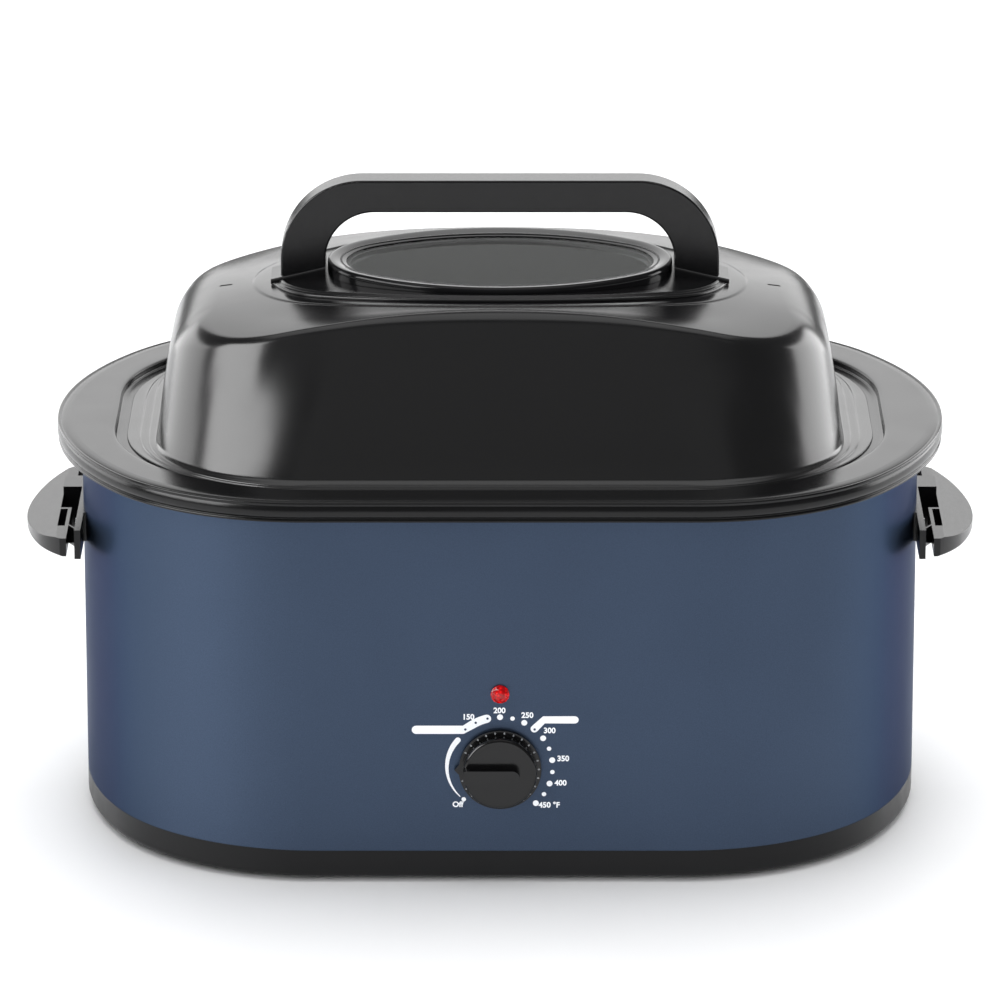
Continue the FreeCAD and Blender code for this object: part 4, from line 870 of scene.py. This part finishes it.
KNOB_HEIGHT = 73.2
DIAL_HEIGHT = 74.0
DIAL_RADIUS = 31.6
DIAL_STEP = math.radians(13.7)
WALL_FACE = -173.6
SKIRT_FACE = -177.1
SKIRT_RADIUS = 23.4
INK = 0.06
SUNK = 0.02
LETTER_SIZE = 4.8
LETTER_BOLD = 0.16


def on_wall(x, z, proud=INK):
    """Point on the front wall, proud of it by the ink's thickness."""
    return Vector((x, WALL_FACE - proud, z)) * MM


def slab(build, outline):
    """A thin raised patch of ink on the front wall, from its outline in x and z."""
    front = [build.verts.new(on_wall(x, z)) for x, z in outline]
    back = [build.verts.new(on_wall(x, z, -SUNK)) for x, z in outline]
    build.faces.new(front)
    build.faces.new(back[::-1])
    for i in range(len(outline)):
        j = (i + 1) % len(outline)
        build.faces.new((front[i], back[i], back[j], front[j]))


def band(points, widths):
    """Outline of a round-ended band that follows the points with the half widths given."""
    points = [Vector(p) for p in points]
    left, right = [], []
    for i, point in enumerate(points):
        ahead = points[min(i + 1, len(points) - 1)] - points[max(i - 1, 0)]
        side = Vector((-ahead.y, ahead.x)).normalized() * widths[i]
        left.append(point + side)
        right.append(point - side)

    def cap(centre, start):
        """Half a turn of points, clockwise from start."""
        radius = (start - centre).length
        angle = math.atan2(start.y - centre.y, start.x - centre.x)
        angles = [angle - math.pi * k / 8 for k in range(1, 8)]
        return [centre + radius * Vector((math.cos(a), math.sin(a))) for a in angles]

    return left + cap(points[-1], left[-1]) + right[::-1] + cap(points[0], right[0])


def on_dial(angle, radius=DIAL_RADIUS):
    """Point at an angle clockwise from the dial's top."""
    return (radius * math.sin(math.radians(angle)), DIAL_HEIGHT + radius * math.cos(math.radians(angle)))


print_build = bmesh.new()
arc = [on_dial(angle) for angle in (-33, -27.4, -22, -17, -14.5)]
slab(print_build, band([(-50.3, 97.6), (-22.0, 97.6), *arc], [2.6] * (len(arc) + 2)))
slab(print_build, band([(20.6, 98.2), (26.3, 103.9), (44.8, 103.9)], [2.3, 2.3, 2.3]))
bow = np.linspace(-1, 1, 15)
crescent = [on_dial(-92 - 36 * t, 31.9 - 1.4 * t * t) for t in bow]
slab(print_build, band(crescent, list(1.0 - 0.72 * bow)))
made(print_build, "dial_bands", ink, "oven_body")


def lettering(text, x, z):
    """Plain lettering centred at x, z on the front wall, as a mesh."""
    curve = bpy.data.curves.new("lettering", "FONT")
    curve.body = text
    curve.size = LETTER_SIZE * MM
    curve.align_x = "CENTER"
    curve.align_y = "CENTER"
    curve.extrude = INK / 2 * MM
    curve.offset = LETTER_BOLD * MM
    curve.resolution_u = 4
    mesh = baked(bpy.data.objects.new("lettering", curve))
    mesh.transform(Matrix.Translation(on_wall(x, z, INK / 2)) @ Matrix.Rotation(math.pi / 2, 4, "X"))
    return mesh


letters = bmesh.new()
LABELS = (
    ("150", -19.0, 105.6), ("200", -0.3, 109.7), ("250", 16.4, 106.7), ("300", 29.7, 97.0),
    ("350", 37.9, 79.2), ("400", 36.4, 63.7), ("450 °F", 29.6, 49.6), ("Off", -25.4, 50.0),
)
for text, x, z in LABELS:
    letters.from_mesh(lettering(text, x, z))
made(letters, "dial_lettering", ink, "oven_body")


def marks_tree(name):
    """Marks of one shape, count of them, at even angles round an arc that faces the front."""
    tree = bpy.data.node_groups.new(name, "GeometryNodeTree")
    face = tree.interface
    face.new_socket("Geometry", in_out="OUTPUT", socket_type="NodeSocketGeometry")
    for label, kind, value in (
        ("Count", "NodeSocketInt", 10), ("First Angle", "NodeSocketFloat", 0.0),
        ("Step Angle", "NodeSocketFloat", 0.2), ("Ring Radius", "NodeSocketFloat", 0.03),
        ("Mark Width", "NodeSocketFloat", 0.002), ("Mark Length", "NodeSocketFloat", 0.002),
        ("Mark Height", "NodeSocketFloat", 0.0001), ("Corners", "NodeSocketInt", 12),
        ("Material", "NodeSocketMaterial", None),
    ):
        socket = face.new_socket(label, in_out="INPUT", socket_type=kind)
        if value is not None:
            socket.default_value = value
    source = add(tree, "NodeGroupInput").outputs
    points = add(tree, "GeometryNodeMeshLine", {
        "Count": source["Count"], "Offset": (0, 0, 0),
    }, mode="OFFSET")
    index = add(tree, "GeometryNodeInputIndex").outputs[0]
    swing = add(
        tree, "ShaderNodeMath", {0: index, 1: source["Step Angle"]}, operation="MULTIPLY"
    ).outputs[0]
    angle = add(
        tree, "ShaderNodeMath", {0: swing, 1: source["First Angle"]}, operation="ADD"
    ).outputs[0]
    spot = {}
    for axis, wave in (("X", "SINE"), ("Z", "COSINE")):
        share = add(tree, "ShaderNodeMath", {0: angle}, operation=wave).outputs[0]
        spot[axis] = add(
            tree, "ShaderNodeMath", {0: share, 1: source["Ring Radius"]}, operation="MULTIPLY"
        ).outputs[0]
    move = add(tree, "GeometryNodeSetPosition", {
        "Geometry": points.outputs[0], "Position": add(tree, "ShaderNodeCombineXYZ", spot).outputs[0],
    })
    mark = add(tree, "GeometryNodeMeshCylinder", {
        "Vertices": source["Corners"], "Depth": source["Mark Height"], "Radius": 0.5,
    })
    size = add(tree, "ShaderNodeCombineXYZ", {
        "X": source["Mark Width"], "Y": source["Mark Length"], "Z": 1.0,
    })
    shaped = add(tree, "GeometryNodeTransform", {
        "Geometry": mark.outputs["Mesh"], "Scale": size.outputs[0],
    })
    upright = add(tree, "GeometryNodeTransform", {
        "Geometry": shaped.outputs[0], "Rotation": (math.pi / 2, 0, 0),
    })
    tilt = add(tree, "ShaderNodeCombineXYZ", {"Y": angle})
    spread = add(tree, "GeometryNodeInstanceOnPoints", {
        "Points": move.outputs[0], "Instance": upright.outputs[0], "Rotation": tilt.outputs[0],
    })
    real = add(tree, "GeometryNodeRealizeInstances", {0: spread.outputs[0]})
    coloured = add(tree, "GeometryNodeSetMaterial", {
        "Geometry": real.outputs[0], "Material": source["Material"],
    })
    add(tree, "NodeGroupOutput", {0: coloured.outputs[0]})
    return tree


marks = marks_tree("marks_round_an_arc")


def mark_mesh(values):
    """The marks that the tree makes with these named inputs, lengths in metres, angles in radians."""
    holder = bpy.data.objects.new("marks", bpy.data.meshes.new("marks"))
    modifier = holder.modifiers.new("marks", "NODES")
    modifier.node_group = marks
    for item in marks.interface.items_tree:
        if item.in_out == "INPUT" and item.name in values:
            modifier[item.identifier] = values[item.name]
    return baked(holder)


def mark_piece(name, material, body, place, rows):
    """Rows of marks joined into one piece, about a point on the front."""
    build = bmesh.new()
    for row in rows:
        build.from_mesh(mark_mesh({**row, "Material": material}))
    for vertex in build.verts:
        vertex.co += Vector(place) * MM
    return made(build, name, material, body, angle=40)


dot = {
    "Ring Radius": DIAL_RADIUS * MM, "Mark Height": (INK + SUNK) * MM, "Corners": 20,
    "Step Angle": DIAL_STEP,
}
large = {**dot, "Mark Width": 3.6 * MM, "Mark Length": 3.6 * MM}
small = {**dot, "Mark Width": 2.7 * MM, "Mark Length": 2.7 * MM}
pinhole = {**dot, "Mark Width": 1.5 * MM, "Mark Length": 1.5 * MM, "Mark Height": 0.14 * MM}
tick = {
    "Ring Radius": SKIRT_RADIUS * MM, "Mark Width": 1.0 * MM, "Mark Length": 1.5 * MM,
    "Mark Height": 0.5 * MM, "Corners": 8, "Step Angle": DIAL_STEP,
}
dial_centre = (0, WALL_FACE - (INK - SUNK) / 2, DIAL_HEIGHT)
mark_piece("dial_dots", ink, "oven_body", dial_centre, [
    {**large, "Count": 1, "First Angle": 0.0},
    {**large, "Count": 1, "First Angle": 2 * DIAL_STEP},
    {**large, "Count": 4, "First Angle": 4 * DIAL_STEP, "Step Angle": 2 * DIAL_STEP},
    {**small, "Count": 1, "First Angle": DIAL_STEP},
    {**small, "Count": 3, "First Angle": 5 * DIAL_STEP, "Step Angle": 2 * DIAL_STEP},
    {**small, "Count": 1, "Ring Radius": 30.0 * MM, "First Angle": math.radians(-133.4)},
])
mark_piece("band_dots", blue, "oven_body", dial_centre, [
    {**pinhole, "Count": 3, "First Angle": -3 * DIAL_STEP},
    {**pinhole, "Count": 1, "First Angle": 3 * DIAL_STEP},
])
mark_piece("skirt_marks", rubbed, "dial_knob", (0, SKIRT_FACE, KNOB_HEIGHT), [
    {**tick, "Count": 24, "First Angle": math.radians(-62)},
])

# ---------------------------------------------------------------- floor, light and camera

FLOOR_HALF = 2.2

# Pale matt board under the oven, with a barely seen drift of tone.
pale = finish(
    "pale_studio_floor", "#f7f7f7", 0.6,
    tones=(("noise", 400.0), "#f5f5f5", "#f8f8f8"),
    wear=(("noise", 80.0), 0.55, 0.65),
    relief=((("noise", 5.0), 0.01, 0.1),),
)
floor_build = bmesh.new()
bmesh.ops.create_grid(floor_build, x_segments=8, y_segments=8, size=FLOOR_HALF)
floor_mesh = bpy.data.meshes.new("studio_floor")
floor_build.to_mesh(floor_mesh)
floor_build.free()
floor_mesh.materials.append(pale)
floor = bpy.data.objects.new("studio_floor", floor_mesh)
bpy.context.scene.collection.objects.link(floor)

# The studio's air lights matt surfaces, shows only faintly in glossy ones, and is white in the picture.
world = bpy.data.worlds.new("plain_studio")
bpy.context.scene.world = world
world.use_nodes = True
tree = world.node_tree
tree.nodes.clear()
rays = add(tree, "ShaderNodeLightPath").outputs
shown = add(tree, "ShaderNodeBackground", {"Color": (0.97, 0.98, 1, 1), "Strength": 0.8}).outputs[0]
for ray, strength in (("Is Glossy Ray", 0.15), ("Is Camera Ray", 1.1)):
    light = add(tree, "ShaderNodeBackground", {"Color": (1, 1, 1, 1), "Strength": strength}).outputs[0]
    shown = add(tree, "ShaderNodeMixShader", {0: rays[ray], 1: shown, 2: light}).outputs[0]
add(tree, "ShaderNodeOutputWorld", {0: shown})

OVEN_MIDDLE = Vector((0, 0, 0.25))


def softbox(name, place, width, height, power, shines=True, shows=True):
    """Large plain area light aimed at the oven, unseen by the camera.

    It shines on matt surfaces, shows as a reflection in glossy ones, or both.
    """
    data = bpy.data.lights.new(name, "AREA")
    data.shape = "RECTANGLE"
    data.size = width
    data.size_y = height
    data.energy = power
    light = bpy.data.objects.new(name, data)
    bpy.context.scene.collection.objects.link(light)
    light.location = place
    light.rotation_euler = (OVEN_MIDDLE - Vector(place)).to_track_quat("-Z", "Y").to_euler()
    light.visible_camera = False
    light.visible_diffuse = shines
    light.visible_glossy = shows


softbox("top_softbox", (0, 0.2, 2.6), 2.4, 2.0, 40, shows=False)
softbox("front_softbox", (0, -3.0, 1.5), 2.0, 1.5, 25, shows=False)
softbox("top_card", (0, 0.0, 2.6), 2.4, 2.0, 16, shines=False)
softbox("back_card", (0, 3.2, 1.8), 3.6, 3.0, 60)
softbox("left_front_card", (-2.1, -1.13, 1.3), 2.0, 1.8, 84, shines=False)
softbox("left_back_card", (-2.05, 1.3, 0.66), 2.6, 1.3, 36, shines=False)
softbox("right_card", (2.15, 1.2, 0.66), 2.4, 1.3, 46, shines=False)
softbox("front_card", (0.5, -2.6, 2.6), 2.6, 0.9, 1.6, shines=False)

CAMERA_PLACE = (0, -4.1339, 1.4891)
CAMERA_TILT = math.radians(72.52)

camera_data = bpy.data.cameras.new("studio_camera")
camera_data.sensor_width = 36
camera_data.lens = 252.07
camera_data.clip_start = 0.1
camera_data.clip_end = 60
camera = bpy.data.objects.new("studio_camera", camera_data)
bpy.context.scene.collection.objects.link(camera)
camera.location = CAMERA_PLACE
camera.rotation_euler = (CAMERA_TILT, 0, 0)
bpy.context.scene.camera = camera
bpy.context.scene.view_settings.view_transform = "Standard"
